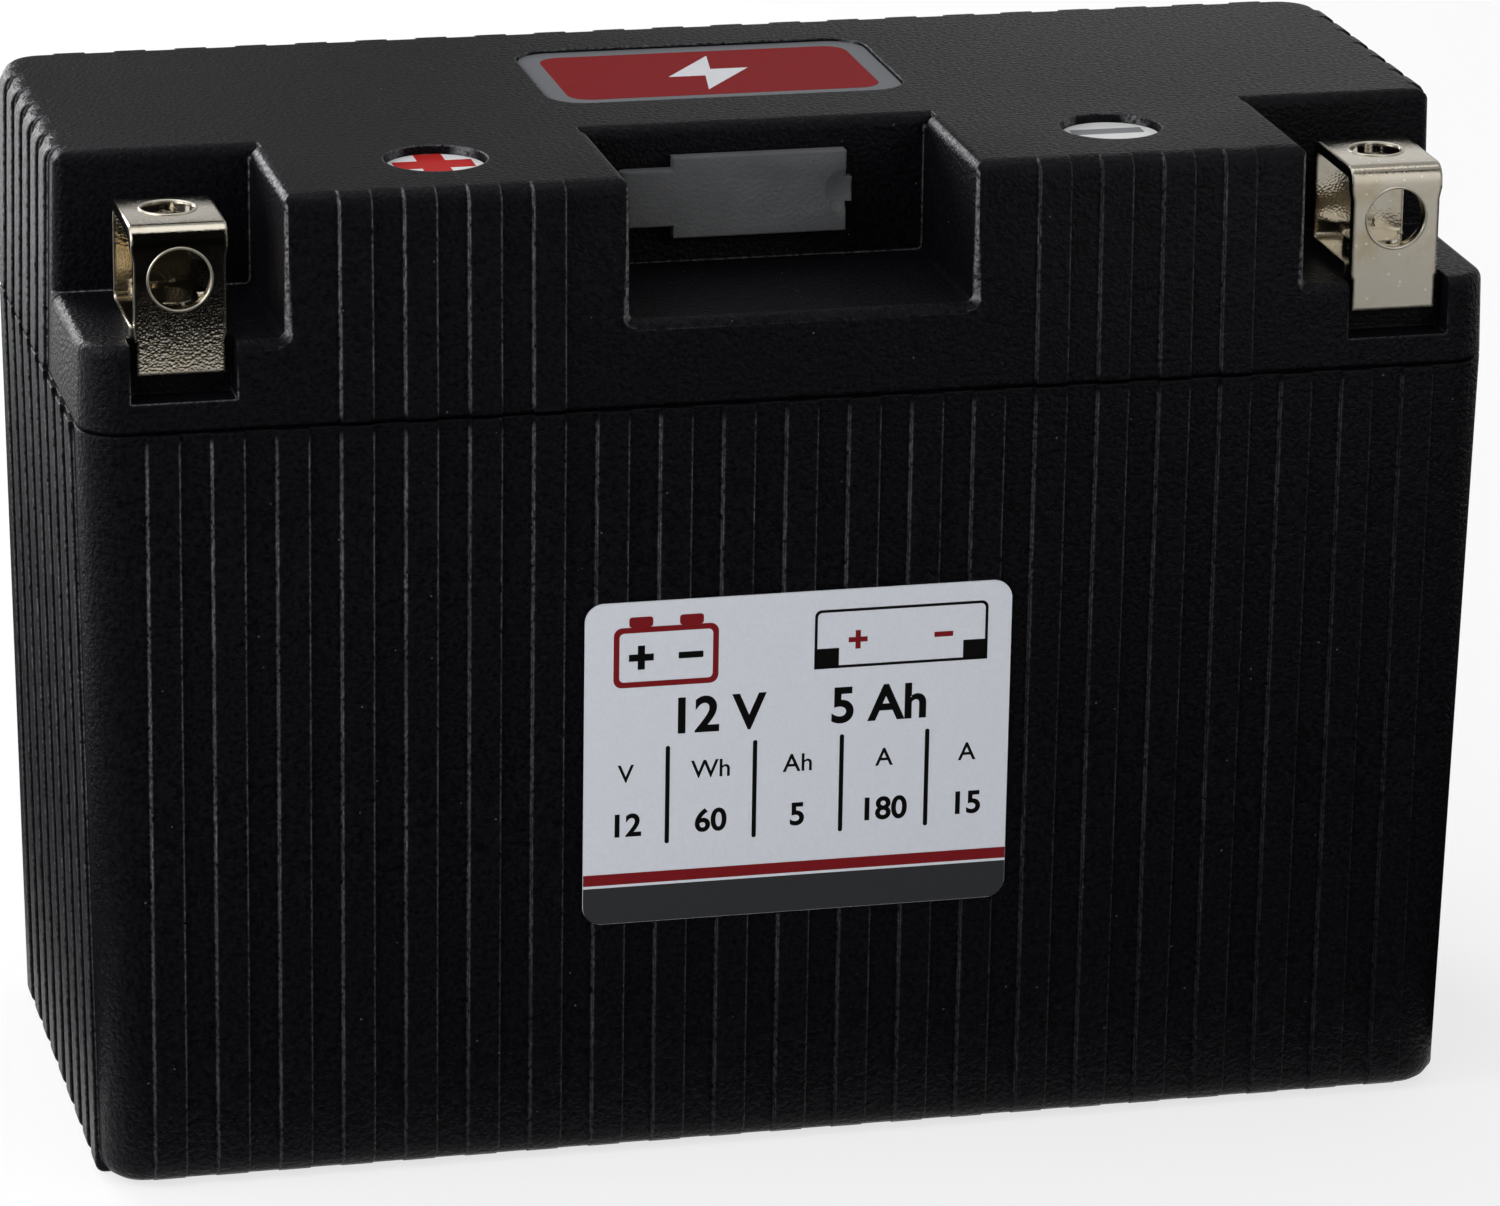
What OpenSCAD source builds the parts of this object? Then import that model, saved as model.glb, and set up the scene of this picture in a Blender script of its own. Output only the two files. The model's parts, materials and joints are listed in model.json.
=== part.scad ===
// Motorcycle starter battery: a ribbed moulded case with a welded lid, bolt-through box
// terminals in the two front corners and a hinged cover over the balance port.
// X runs along the width, -Y is the front, +Z is up, and the base stands on z = 0.

/* [Body] */
// Overall width, over the ribs at the seam
body_w = 148; // [132:1:166]
// Overall depth, over the ribs at the seam
body_d = 66; // [59:1:76]
// Overall height
body_h = 105; // [92:1:120]
// Height of the lid above the welded seam
lid_h = 23.8; // [22:0.1:26]
// Wall thickness of the case
case_wall = 2.4; // [2:0.1:2.8]
// Thickness of the case floor
case_floor = 2.6; // [2:0.1:3.2]
// Wall thickness of the lid
lid_wall = 2; // [1.6:0.1:2.4]
// Radius of the vertical corners
corner_r = 4.5; // [4:0.25:6]
// Radius of the bottom edges
bottom_r = 2.5; // [1:0.25:3]
// Radius of the top edges
top_r = 1.75; // [1:0.25:2.5]
// Lean of the case walls towards the bottom, in degrees
case_draft = 1; // [0.3:0.1:1.2]
// Lean of the lid walls towards the top, in degrees
lid_draft = 1.1; // [0.3:0.1:1.6]
// Height of the shadow groove at the seam
groove_h = 0.4; // [0.2:0.1:0.8]
// Depth of the shadow groove at the seam
groove_d = 0.6; // [0.3:0.1:1]
// How far the lid's locating tongue reaches into the case
tongue_h = 2.2; // [1.5:0.1:2.6]
// Thickness of the tongue
tongue_t = 1.5; // [1:0.1:2]
// Height of the thick weld flange inside the lid
flange_h = 1.5; // [1:0.1:2]

/* [Ribs] */
// How far the ribs stand out
rib_h = 0.5; // [0.3:0.05:0.8]
// Width of a rib on the front and back
rib_w = 3.3; // [2.5:0.1:4]
// How far the front and back ribs still stand out where they run out at the bottom
rib_foot_h = 0.1; // [0.1:0.05:0.3]
// Distance of the outermost rib's middle from the end of the body
rib_margin = 8.55; // [7.5:0.05:9.5]
// Ribs below each terminal notch
corner_ribs = 3; // [2:1:3]
// Ribs on each pillar between the notches
pillar_ribs = 4; // [3:1:4]
// Ribs below the port notch
port_ribs = 7; // [5:2:7]
// Width of a rib on the two ends
end_rib_w = 3.05; // [2.5:0.05:3.6]
// Radius at the feet of the ribs on the two ends
end_rib_foot_r = 1; // [0.6:0.1:2.5]
// Distance of the outermost rib's middle on the ends from the front or back
end_rib_margin = 8.5; // [8:0.05:10]
// Ribs on each end of the case
end_ribs = 9; // [7:1:9]
// Ribs on each end of the lid, counted from the back
lid_end_ribs = 6; // [4:1:6]

/* [Notches] */
// Depth of the three notches from the front
notch_d = 21.9; // [20.5:0.1:23]
// Height of the notches from the top
notch_h = 14.6; // [13.8:0.1:15.4]
// Width of the port notch
port_notch_w = 35.7; // [35:0.1:39]
// Width of a terminal notch, from the end of the body
terminal_notch_w = 21; // [18.5:0.1:21.5]
// Rounding of the notches' edges in the top
notch_edge_r = 1.3; // [0.5:0.1:1.8]
// Rounding of the notches' lower corners
notch_in_r = 0.6; // [0.5:0.1:1.2]
// Rounding of the notches' rims in the front and of the outer edges of their floors
notch_rim_r = 1; // [0.6:0.1:1.4]

/* [Terminals] */
// Distance of a terminal's middle from the end of the body
terminal_inset = 10.8; // [10:0.1:11.8]
// Width of the terminal strip
terminal_w = 9.7; // [9.4:0.1:11]
// Width of the front plate below the bend, where the strip bulges
terminal_plate_w = 9.2; // [9:0.1:9.4]
// Width of the tongue that hangs into the pocket
terminal_tongue_w = 8.8; // [8:0.1:9]
// Outside depth of the terminal box
terminal_d = 13.4; // [12.8:0.1:14]
// Outside height of the terminal box
terminal_h = 11.6; // [11:0.1:13]
// Thickness of the terminal strip
strip_t = 1.2; // [1:0.1:1.5]
// Outside radius of its bends
bend_r = 1.7; // [1.6:0.1:2.2]
// Distance of its front plate behind the front of the body
terminal_setback = 2.5; // [2.2:0.1:3]
// Length of the front plate below the notch floor
terminal_drop = 3.5; // [2:0.1:4]
// Diameter of the front bolt hole
bolt_hole_d = 6.2; // [5.4:0.1:6.6]
// Diameter of the top bolt hole
top_hole_d = 5.4; // [5:0.1:6.2]
// Height of the front bolt hole over the notch floor
bolt_hole_z = 6.2; // [5.9:0.1:6.4]
// Distance of the top bolt hole behind the front plate
bolt_hole_y = 7.5; // [6.5:0.1:7.8]
// Room round the terminal in its pocket
pocket_gap = 0.5; // [0.3:0.05:0.6]
// Room under the terminal in its pocket
pocket_drop = 2.4; // [1.5:0.1:3]
// Diameter of the rivet through the notch floor
rivet_d = 4; // [3:0.1:4.5]
// Diameter of the rivet's heads
rivet_head_d = 6; // [5.5:0.1:6.4]
// Thickness of the rivet's heads
rivet_head_h = 1.2; // [0.8:0.1:1.5]
// Distance of the rivet behind the terminal's front plate
rivet_y = 8; // [7.4:0.1:8.2]
// Outside diameter of the sealing ring
seal_d = 8.6; // [8:0.1:8.8]
// Thickness of the sealing ring
seal_t = 1; // [0.6:0.1:1.4]

/* [Port] */
// Width of the cover's flap
cover_w = 18.3; // [17:0.1:19.4]
// Height of the cover's flap
cover_h = 8.5; // [8.2:0.1:9.6]
// Thickness of the cover
cover_t = 1.6; // [1.2:0.1:2]
// Offset of the flap's middle to the right
cover_x = 0; // [-0.4:0.1:1]
// Height of the flap's middle over the notch floor
cover_z = 7.25; // [7:0.05:7.6]
// Room between the cover and the wall behind it
cover_gap = 0.2; // [0.1:0.05:0.3]
// Length of the strap from the flap to its bend
strap_l = 4.8; // [4:0.1:5]
// Height of the strap
strap_h = 5.9; // [5:0.1:7]
// Length of the strap's fixed end
anchor_l = 2.2; // [1.8:0.1:2.4]
// Room at the strap's bend
bend_gap = 0.15; // [0.1:0.05:0.3]
// Diameter of the peg on the fixed end
peg_d = 2.2; // [1.6:0.1:2.4]
// Length of the pull nub
nub_l = 0.7; // [0.4:0.1:1]
// Height of the pull nub
nub_h = 2.6; // [2:0.1:4]
// Radius of the ball that hollows the thumb dimple
dimple_ball_r = 5; // [4:0.5:8]
// Depth of the thumb dimple
dimple_depth = 0.6; // [0.3:0.1:0.8]
// Width of the socket's mouth
mouth_w = 14; // [13:0.1:14.4]
// Height of the socket's mouth
mouth_h = 5.6; // [5:0.1:6]
// Depth of the socket's mouth
mouth_d = 7; // [6:0.1:8]
// Wall of the socket
socket_wall = 0.9; // [0.7:0.1:1.1]
// How far the socket's flange stands out
socket_rim = 1.2; // [0.8:0.1:1.3]
// Thickness of the socket's flange and of its back
socket_back = 1.5; // [1:0.1:2]
// Number of pins
pin_count = 5; // [3:1:5]
// Spacing of the pins
pin_pitch = 2.54; // [2:0.01:2.6]
// Diameter of a pin
pin_d = 1; // [0.6:0.1:1.2]
// Length of a pin in the mouth
pin_l = 4.6; // [3:0.1:5]
// Length of a pin behind the socket
pin_tail = 1.5; // [1:0.1:3]
// Depth of the cover's plug in the mouth
plug_d = 1.6; // [1:0.1:2]
// Room round the cover's plug
plug_gap = 0.4; // [0.3:0.05:0.6]

/* [Marks] */
// Diameter of a polarity mark's recess
mark_d = 10.6; // [9:0.1:12]
// Depth of that recess
mark_depth = 1.4; // [1:0.1:1.5]
// Thickness of the mark
mark_t = 0.5; // [0.3:0.1:0.8]
// Distance of the marks behind the front of the body
mark_y = 13.1; // [11:0.1:14]
// Width of the badge's recess
badge_w = 38.4; // [30:0.1:44]
// Depth of the badge's recess, front to back
badge_d = 23.4; // [16:0.1:26]
// Corner radius of the badge
badge_r = 4; // [2:0.5:6]
// Depth of the recess under the badge
badge_depth = 0.8; // [0.6:0.1:1.2]
// Thickness of the badge
badge_t = 0.5; // [0.3:0.1:0.6]
// Distance of the badge's middle in front of the back of the body
badge_y = 21.8; // [18:0.1:23]
// Room round the marks and the badge in their recesses
mark_gap = 0.2; // [0.1:0.05:0.3]
// Width of the front label
label_w = 45; // [40:0.5:60]
// Height of the front label
label_h = 35; // [30:0.5:45]
// Corner radius of the label
label_r = 2; // [1:0.5:4]
// Thickness of the label
label_t = 0.2; // [0.1:0.05:0.3]
// Distance of the label's middle below the seam
label_drop = 37.9; // [26:0.1:42]

/* [Cells] */
// Number of pouch cells in the stack
cell_count = 4; // [4:1:4]
// Room at each end of the cells, for the pads and the posts
cell_end_room = 11.9; // [11:0.1:16]
// Room in front of the stack of cells and behind it
stack_room = 1.4; // [0.6:0.1:3]
// Slope of the pouch's edges
cell_slope = 4; // [2:0.5:6]
// Thickness of the pouch's seal
seal_strip_t = 0.8; // [0.4:0.1:1.2]
// Width of the seal at the cell's ends
seal_strip_w = 3; // [2:0.1:3.5]
// Height of the seal over the cell
seal_strip_h = 4; // [3:0.1:4.4]
// Thickness of a separator between cells
separator_t = 1; // [0.6:0.1:1.2]
// Thickness of a tab
tab_t = 0.4; // [0.2:0.1:0.6]
// Thickness of the foam pad under the cells
foam_base_t = 3; // [2:0.1:3.5]
// How far the foam pads at the ends stop below the tops of the cells
foam_end_drop = 10; // [5:0.5:20]
// Room between those pads and the posts
foam_post_gap = 1.7; // [1:0.1:4]
// Room round the foam pads
foam_gap = 0.3; // [0.2:0.05:0.5]

/* [Board] */
// Depth of the board's underside below the seam
board_drop = 4.2; // [3.6:0.1:6]
// Room between the cells and the board
board_gap = 2.4; // [1.5:0.1:4]
// Thickness of the board
board_t = 1.6; // [1.2:0.1:2]
// Room between the board and the case walls
board_edge = 2.1; // [1.9:0.1:2.6]
// Diameter of the board's posts
post_d = 7; // [6:0.1:8]
// Distance of the posts from the case walls
post_inset = 4.9; // [4.5:0.1:5.4]
// Thickness of the busbars and links
bar_t = 1; // [0.8:0.1:1.4]
// Width of the busbars
bar_w = 10; // [9:0.1:10.4]
// Room between the busbars, the links and the ribbon
bar_gap = 1.1; // [0.6:0.1:1.4]
// How far the links reach past the tabs
link_reach = 3.6; // [3:0.1:4]
// How far the tabs stand over the links
tab_over = 0.6; // [0.3:0.1:1]
// Room round the tabs in the board and the links
tab_gap = 0.3; // [0.2:0.05:0.4]
// Diameter of the board screws
screw_d = 2.9; // [2.5:0.1:3.1]
// Diameter of their heads
screw_head_d = 5.5; // [5:0.1:6]
// Height of their heads
screw_head_h = 2; // [1.5:0.1:2.4]
// Length of their shanks
screw_l = 8; // [6:0.5:12]
// Room round screws, rivets, pins and pegs in their holes, on the radius
hole_gap = 0.05; // [0.03:0.01:0.1]
// Thickness of the ribbon from the board to the port
ribbon_t = 1.2; // [0.8:0.1:1.5]
// Bend radius at the middle of the ribbon
ribbon_r = 3; // [2:0.1:4]

/* [Hidden] */
$fn = 48;
// Segments of the rounded forms
form_fn = 32;
// Overlap that lets a cut run clear of a face
cut = 1;

seam_z = body_h - lid_h;
// Walls between the ribs, measured at the seam
wall_w = body_w - 2 * rib_h;
wall_d = body_d - 2 * rib_h;
lid_z = seam_z + groove_h;
flange_z = seam_z + flange_h;
cavity_w = wall_w - 2 * case_wall;
cavity_d = wall_d - 2 * case_wall;
cavity_r = corner_r - case_wall;
tongue_gap = 0.15;
lid_inner_r = (corner_r - lid_wall) / 2;

// How far a wall has leaned in at a height
function case_lean(z) = (seam_z - z) * tan(case_draft);
function lid_lean(z) = (z - lid_z) * tan(lid_draft);

// Ribs
front_ribs = 2 * (corner_ribs + pillar_ribs) + port_ribs;
rib_pitch = (body_w - 2 * rib_margin) / (front_ribs - 1);
end_rib_pitch = (body_d - 2 * end_rib_margin) / (end_ribs - 1);
rib_foot_r = bottom_r + rib_h - rib_foot_h;
rib_reach = max(rib_foot_r, end_rib_foot_r, top_r) + max(case_lean(0), lid_lean(body_h)) + rib_h + cut;
function rib_xs(from, to) = [for (i = [from : to]) (i - (front_ribs - 1) / 2) * rib_pitch];
function end_rib_ys(from, to) = [for (i = [from : to]) (i - (end_ribs - 1) / 2) * end_rib_pitch];

// Notches
front_y = -body_d / 2;
notch_back_y = front_y + notch_d;
notch_floor_z = body_h - notch_h;
terminal_notch_x = body_w / 2 - terminal_notch_w;
// Front wall at the height of the notch floors
notch_wall_y = -wall_d / 2 + lid_lean(notch_floor_z);
lid_under_z = notch_floor_z - lid_wall;

// Terminals
terminal_x = body_w / 2 - terminal_inset;
terminal_y = front_y + terminal_setback;
terminal_low_z = notch_floor_z - terminal_drop;
pocket_w = terminal_w + 2 * pocket_gap;
pocket_y = terminal_y + strip_t + 0.7 * pocket_gap;
pocket_z = terminal_low_z - pocket_drop;
rivet_at_y = terminal_y + rivet_y;

// Port
port_z = notch_floor_z + cover_z;
cover_back_y = notch_back_y - cover_gap;
hinge_x = cover_x - cover_w / 2 - strap_l;
hinge_y = cover_back_y - cover_t / 2;
socket_w = mouth_w + 2 * socket_wall;
socket_h = mouth_h + 2 * socket_wall;
socket_end_y = notch_back_y + mouth_d + socket_back;
pin_end_y = socket_end_y + pin_tail;
ribbon_w = pin_count * pin_pitch;

// Cells and board, from the case floor upwards
cell_z = case_floor + foam_base_t;
board_z = seam_z - board_drop;
seal_top_z = board_z - board_gap;
cell_h = seal_top_z - seal_strip_h - cell_z;
cell_w = cavity_w - 2 * (case_lean(cell_z) + cell_end_room);
stack_d = cavity_d - 2 * (case_lean(cell_z) + stack_room);
cell_pitch = (stack_d + separator_t) / cell_count;
cell_t = cell_pitch - separator_t;
tab_x = cell_w / 4;
tab_w = cell_w / 5;
board_top_z = board_z + board_t;
link_top_z = board_top_z + bar_t;
tab_top_z = link_top_z + tab_over;
board_w = cavity_w - 2 * board_edge;
board_d = cavity_d - 2 * board_edge;
post_x = cavity_w / 2 - post_inset;
post_y = cavity_d / 2 - post_inset;
// Busbars and links
bar_reach = tab_w / 2 + tab_gap + bar_gap;
bar_neck_w = cell_pitch - 2 * (link_reach + bar_gap);
bar_neck_x = cover_x + ribbon_w / 2 + bar_gap;
bar_top_z = lid_under_z - seal_t;
bar_rise_x = terminal_x - seal_d - bar_t;
bar_y = rivet_at_y + bar_gap;
function cell_y(i) = (i - (cell_count - 1) / 2) * cell_pitch;
// The cells alternate, so that each one's positive tab lies next to its neighbour's negative tab
function positive_x(i) = i % 2 == 0 ? -tab_x : tab_x;

// Shared shapes

module both_ends() {
    children();
    mirror([1, 0, 0]) children();
}

module front_and_back() {
    children();
    mirror([0, 1, 0]) children();
}

module at_corners(w, d) {
    for (x = [-w / 2, w / 2], y = [-d / 2, d / 2])
        translate([x, y, 0]) children();
}

// Rectangle with round corners, about the origin
module round_rect(w, d, r) {
    square([w, d - 2 * r], center = true);
    square([w - 2 * r, d], center = true);
    at_corners(w - 2 * r, d - 2 * r) circle(r);
}

// Cuboid between two corner points
module block(from, to) {
    translate(from) cube(to - from);
}

// Solid post with a rounded upper edge
module round_post(r, edge_r) {
    rotate_extrude($fn = form_fn) {
        square([r - edge_r, edge_r]);
        translate([r - edge_r, 0])
            intersection() {
                circle(edge_r, $fn = form_fn / 2);
                square(edge_r);
            }
    }
}

// Box with round corners whose walls lean in from z = 0 to a rounded edge at z = h
module drafted_form(w, d, h, draft, r, edge_r) {
    lean = (h - edge_r) * tan(draft) + edge_r / cos(draft) - edge_r;
    hull() {
        at_corners(w - 2 * r, d - 2 * r)
            cylinder(h = edge_r, r1 = r, r2 = 0, $fn = form_fn);
        translate([0, 0, h - edge_r])
            at_corners(w - 2 * (r + lean), d - 2 * (r + lean))
                round_post(r, edge_r);
    }
}

// Form of the case, set in from the walls between the ribs, from a floor up past the seam
module case_form(inset, floor_z, r, edge_r, past = 0) {
    grow = 2 * past * tan(case_draft) - 2 * inset;
    translate([0, 0, seam_z + past])
        mirror([0, 0, 1])
            drafted_form(wall_w + grow, wall_d + grow, seam_z + past - floor_z, case_draft, r, edge_r);
}

// Form of the lid, set in from the walls between the ribs, from a height up to its top
module lid_form(inset, from_z, top_z, r, edge_r) {
    in = 2 * (inset + lid_lean(from_z));
    translate([0, 0, from_z])
        drafted_form(wall_w - in, wall_d - in, top_z - from_z, lid_draft, r, edge_r);
}

// Upright bars at the front, which a form trims to ribs
module rib_bars(xs, w, from_y, z0, z1) {
    for (x = xs)
        block([x - w / 2, from_y - cut, z0], [x + w / 2, from_y + rib_reach, z1]);
}

// The same bars on the right-hand end, where the places run from the back to the front
module end_rib_bars(ys, z0, z1) {
    for (y = ys)
        block([body_w / 2 - rib_reach, -y - end_rib_w / 2, z0], [body_w / 2 + cut, -y + end_rib_w / 2, z1]);
}

// What a round edge takes off a corner at the origin, whose solid lies towards +X and +Y
module edge_profile(r) {
    difference() {
        translate([-cut, -cut]) square(r + cut);
        translate([r, r]) circle(r);
    }
}

// The same along X or Y. The solid lies below, and towards +Y or +X.
module round_edge_x(at, l, r) {
    translate(at) rotate([90, 0, 90]) linear_extrude(l) mirror([0, 1]) edge_profile(r);
}

module round_edge_y(at, l, r) {
    translate(at + [0, l, 0]) rotate([90, 0, 0]) linear_extrude(l) mirror([0, 1]) edge_profile(r);
}

// Case

module board_posts(d, from_z, to_z) {
    at_corners(2 * post_x, 2 * post_y)
        translate([0, 0, from_z]) cylinder(d = d, h = to_z - from_z);
}

// Webs that tie each post to the two walls beside it
module post_webs() {
    for (x = [-1, 1], y = [-1, 1]) {
        translate([x * (post_x + wall_w / 4), y * post_y, board_z / 2])
            cube([wall_w / 2, case_wall, board_z], center = true);
        translate([x * post_x, y * (post_y + wall_d / 4), board_z / 2])
            cube([case_wall, wall_d / 2, board_z], center = true);
    }
}

module case() {
    color("#1b1b1d")
        difference() {
            union() {
                case_form(0, 0, corner_r, bottom_r);
                intersection() {
                    case_form(-rib_h, 0, corner_r + rib_h, rib_foot_r);
                    front_and_back()
                        rib_bars(rib_xs(0, front_ribs - 1), rib_w, front_y, -cut, seam_z);
                }
                intersection() {
                    case_form(-rib_h, 0, corner_r + rib_h, end_rib_foot_r);
                    both_ends()
                        end_rib_bars(end_rib_ys(0, end_ribs - 1), -cut, seam_z);
                }
            }
            difference() {
                case_form(case_wall, case_floor, cavity_r, cavity_r / 2, cut);
                board_posts(post_d, 0, board_z);
                post_webs();
            }
            board_posts(screw_d + 2 * hole_gap, board_z - screw_l - cut, board_z + cut);
        }
}

// Lid

// Front view of a notch between two places: flat floor, rounded lower corners, open top
module notch_profile(x0, x1, z0, r) {
    translate([x0, z0 + r]) square([x1 - x0, body_h + cut - z0 - r]);
    translate([x0 + r, z0]) square([x1 - x0 - 2 * r, r]);
    for (x = [x0 + r, x1 - r])
        translate([x, z0 + r]) circle(r);
}

module notch(x0, x1, wall) {
    translate([0, notch_back_y + wall, 0])
        rotate([90, 0, 0])
            linear_extrude(notch_d + wall + cut)
                notch_profile(x0 - wall, x1 + wall, notch_floor_z - wall, notch_in_r + wall);
}

// Slot in front of a terminal, where its front plate hangs
module pocket(wall) {
    half = pocket_w / 2 + wall;
    block([terminal_x - half, front_y - cut, pocket_z - wall],
          [terminal_x + half, pocket_y + wall, notch_floor_z + cut]);
}

// The spaces that the lid is notched for, with a wall added on their closed sides
module notch_spaces(wall) {
    notch(-port_notch_w / 2, port_notch_w / 2, wall);
    both_ends() {
        notch(terminal_notch_x, body_w / 2 + notch_in_r + cut, wall);
        pocket(wall);
    }
}

// What the rounded rim of a notch takes off the front: up one side, along the floor, and at the corner
module notch_rim(x0, l) {
    in_x = x0 + notch_in_r;
    in_z = notch_floor_z + notch_in_r;
    round_edge_x([in_x, notch_wall_y, notch_floor_z], l - notch_in_r, notch_rim_r);
    translate([x0, notch_wall_y, in_z])
        rotate([-lid_draft, 0, 0])
            linear_extrude(notch_h) mirror([1, 0]) edge_profile(notch_rim_r);
    flare = 0.75 * notch_rim_r;
    more = notch_in_r / 6;
    translate([in_x, notch_wall_y - more, in_z])
        rotate([-90, 0, 0])
            cylinder(h = flare + 2 * more, r1 = notch_in_r + flare + more, r2 = notch_in_r - more);
}

// Rounded outer edges of the port notch
module port_notch_edges() {
    r = notch_edge_r;
    w = port_notch_w;
    round_edge_x([-w / 2 - cut, notch_back_y, body_h], w + 2 * cut, r);
    both_ends() {
        round_edge_y([w / 2, front_y - cut, body_h], notch_d + cut, r);
        notch_rim(-w / 2, w / 2);
    }
}

// Rounded outer edges of the notch of the right-hand terminal
module terminal_notch_edges() {
    r = notch_edge_r;
    wall_x = wall_w / 2 - lid_lean(notch_floor_z);
    wall_y = notch_wall_y;
    notch_rim(terminal_notch_x, wall_x - corner_r - terminal_notch_x);
    round_edge_x([terminal_notch_x - cut, notch_back_y, body_h], terminal_notch_w + 2 * cut, r);
    translate([wall_x - corner_r, wall_y + corner_r, notch_floor_z])
        rotate([0, 0, -90])
            rotate_extrude(angle = 90)
                translate([corner_r, 0]) rotate(180) edge_profile(notch_rim_r);
    mirror([1, 0, 0]) {
        round_edge_y([-terminal_notch_x, front_y - cut, body_h], notch_d + cut, r);
        round_edge_y([-wall_x, wall_y + corner_r, notch_floor_z], notch_back_y - wall_y - corner_r,
            notch_rim_r);
    }
    translate([wall_x, notch_back_y, notch_floor_z])
        rotate([0, -lid_draft, 0])
            linear_extrude(notch_h + cut) mirror([1, 0]) edge_profile(r);
}

module lid_ribs() {
    last = front_ribs - 1;
    pillar_xs = rib_xs(corner_ribs, corner_ribs + pillar_ribs - 1);
    intersection() {
        lid_form(-rib_h, lid_z, body_h, corner_r + rib_h, top_r);
        union() {
            both_ends() {
                rib_bars(pillar_xs, rib_w, front_y, lid_z, body_h + cut);
                end_rib_bars(end_rib_ys(0, lid_end_ribs - 1), lid_z, body_h + cut);
            }
            mirror([0, 1, 0]) rib_bars(rib_xs(0, last), rib_w, front_y, lid_z, body_h + cut);
        }
    }
}

module lid() {
    tongue_w = cavity_w - 2 * tongue_gap;
    tongue_d = cavity_d - 2 * tongue_gap;
    tongue_r = cavity_r;
    color("#1b1b1d")
        difference() {
            union() {
                lid_form(0, lid_z, body_h, corner_r, top_r);
                lid_ribs();
                translate([0, 0, seam_z])
                    linear_extrude(groove_h + cut)
                        round_rect(wall_w - 2 * groove_d, wall_d - 2 * groove_d, corner_r - groove_d);
                translate([0, 0, seam_z - tongue_h])
                    linear_extrude(tongue_h + cut) round_rect(tongue_w, tongue_d, tongue_r);
            }
            translate([0, 0, seam_z - tongue_h - cut])
                linear_extrude(tongue_h + cut + flange_h + cut)
                    round_rect(tongue_w - 2 * tongue_t, tongue_d - 2 * tongue_t, tongue_r);
            difference() {
                lid_form(lid_wall, flange_z, body_h - lid_wall, corner_r - lid_wall, lid_inner_r);
                notch_spaces(lid_wall);
            }
            notch_spaces(0);
            port_notch_edges();
            both_ends() {
                terminal_notch_edges();
                translate([terminal_x, rivet_at_y, lid_under_z - cut])
                    cylinder(d = rivet_d + 2 * hole_gap, h = lid_wall + 2 * cut);
            }
            translate([mark_x(), front_y + mark_y, body_h - mark_depth]) cylinder(d = mark_d, h = 2 * cut);
            translate([-mark_x(), front_y + mark_y, body_h - mark_depth]) cylinder(d = mark_d, h = 2 * cut);
            translate([0, -front_y - badge_y, body_h - badge_depth])
                linear_extrude(2 * cut) round_rect(badge_w, badge_d, badge_r);
            block([cover_x - socket_w / 2, notch_back_y - cut, port_z - socket_h / 2],
                  [cover_x + socket_w / 2, notch_back_y + lid_wall + cut, port_z + socket_h / 2]);
            translate([anchor_x(), notch_back_y - cut, port_z])
                rotate([-90, 0, 0]) cylinder(d = peg_d + 2 * hole_gap, h = lid_wall + 2 * cut);
        }
}

// Terminals

// Side view of the strip: a box open at its front lower corner, whose front plate hangs down
module terminal_profile() {
    inner_r = bend_r - strip_t;
    in_d = terminal_d - 2 * strip_t;
    in_h = terminal_h - 2 * strip_t;
    difference() {
        translate([terminal_d / 2, terminal_h / 2]) {
            round_rect(terminal_d, terminal_h, bend_r);
            translate([-terminal_d / 2, -terminal_h / 2]) square(bend_r);
        }
        translate([terminal_d / 2, terminal_h / 2]) round_rect(in_d, in_h, inner_r);
        translate([strip_t, -cut]) square([pocket_gap, strip_t + inner_r + cut]);
    }
    translate([0, -terminal_drop]) square([strip_t, terminal_drop + bend_r]);
}

// Front view of the strip's right-hand half: it bulges at the bend and narrows to the tongue
module terminal_half() {
    shoulder_z = terminal_h - bend_r - strip_t / 2;
    low_z = -terminal_drop - cut;
    polygon([
        [-cut, low_z], [terminal_tongue_w / 2, low_z], [terminal_tongue_w / 2, 0], [terminal_plate_w / 2, 0],
        [terminal_plate_w / 2, shoulder_z - strip_t], [terminal_w / 2, shoulder_z],
        [terminal_w / 2, terminal_h + cut], [-cut, terminal_h + cut]
    ]);
}

module terminal() {
    plate_y = strip_t + pocket_gap / 2;
    translate([terminal_x, terminal_y, notch_floor_z])
        difference() {
            intersection() {
                translate([-terminal_w / 2, 0, 0])
                    rotate([90, 0, 90]) linear_extrude(terminal_w) terminal_profile();
                union() {
                    both_ends()
                        translate([0, plate_y, 0])
                            rotate([90, 0, 0]) linear_extrude(plate_y + cut) terminal_half();
                    block([-terminal_w, plate_y, -cut], [terminal_w, terminal_d + cut, terminal_h + cut]);
                }
            }
            translate([0, strip_t + cut, bolt_hole_z])
                rotate([90, 0, 0]) cylinder(d = bolt_hole_d, h = strip_t + 2 * cut);
            translate([0, bolt_hole_y, terminal_h - strip_t - cut])
                cylinder(d = top_hole_d, h = strip_t + 2 * cut);
            translate([0, rivet_y, -cut])
                cylinder(d = rivet_d + 2 * hole_gap, h = strip_t + 2 * cut);
        }
}

module terminal_positive() {
    color("#d9d3c4") mirror([1, 0, 0]) terminal();
}

module terminal_negative() {
    color("#d9d3c4") terminal();
}

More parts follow.
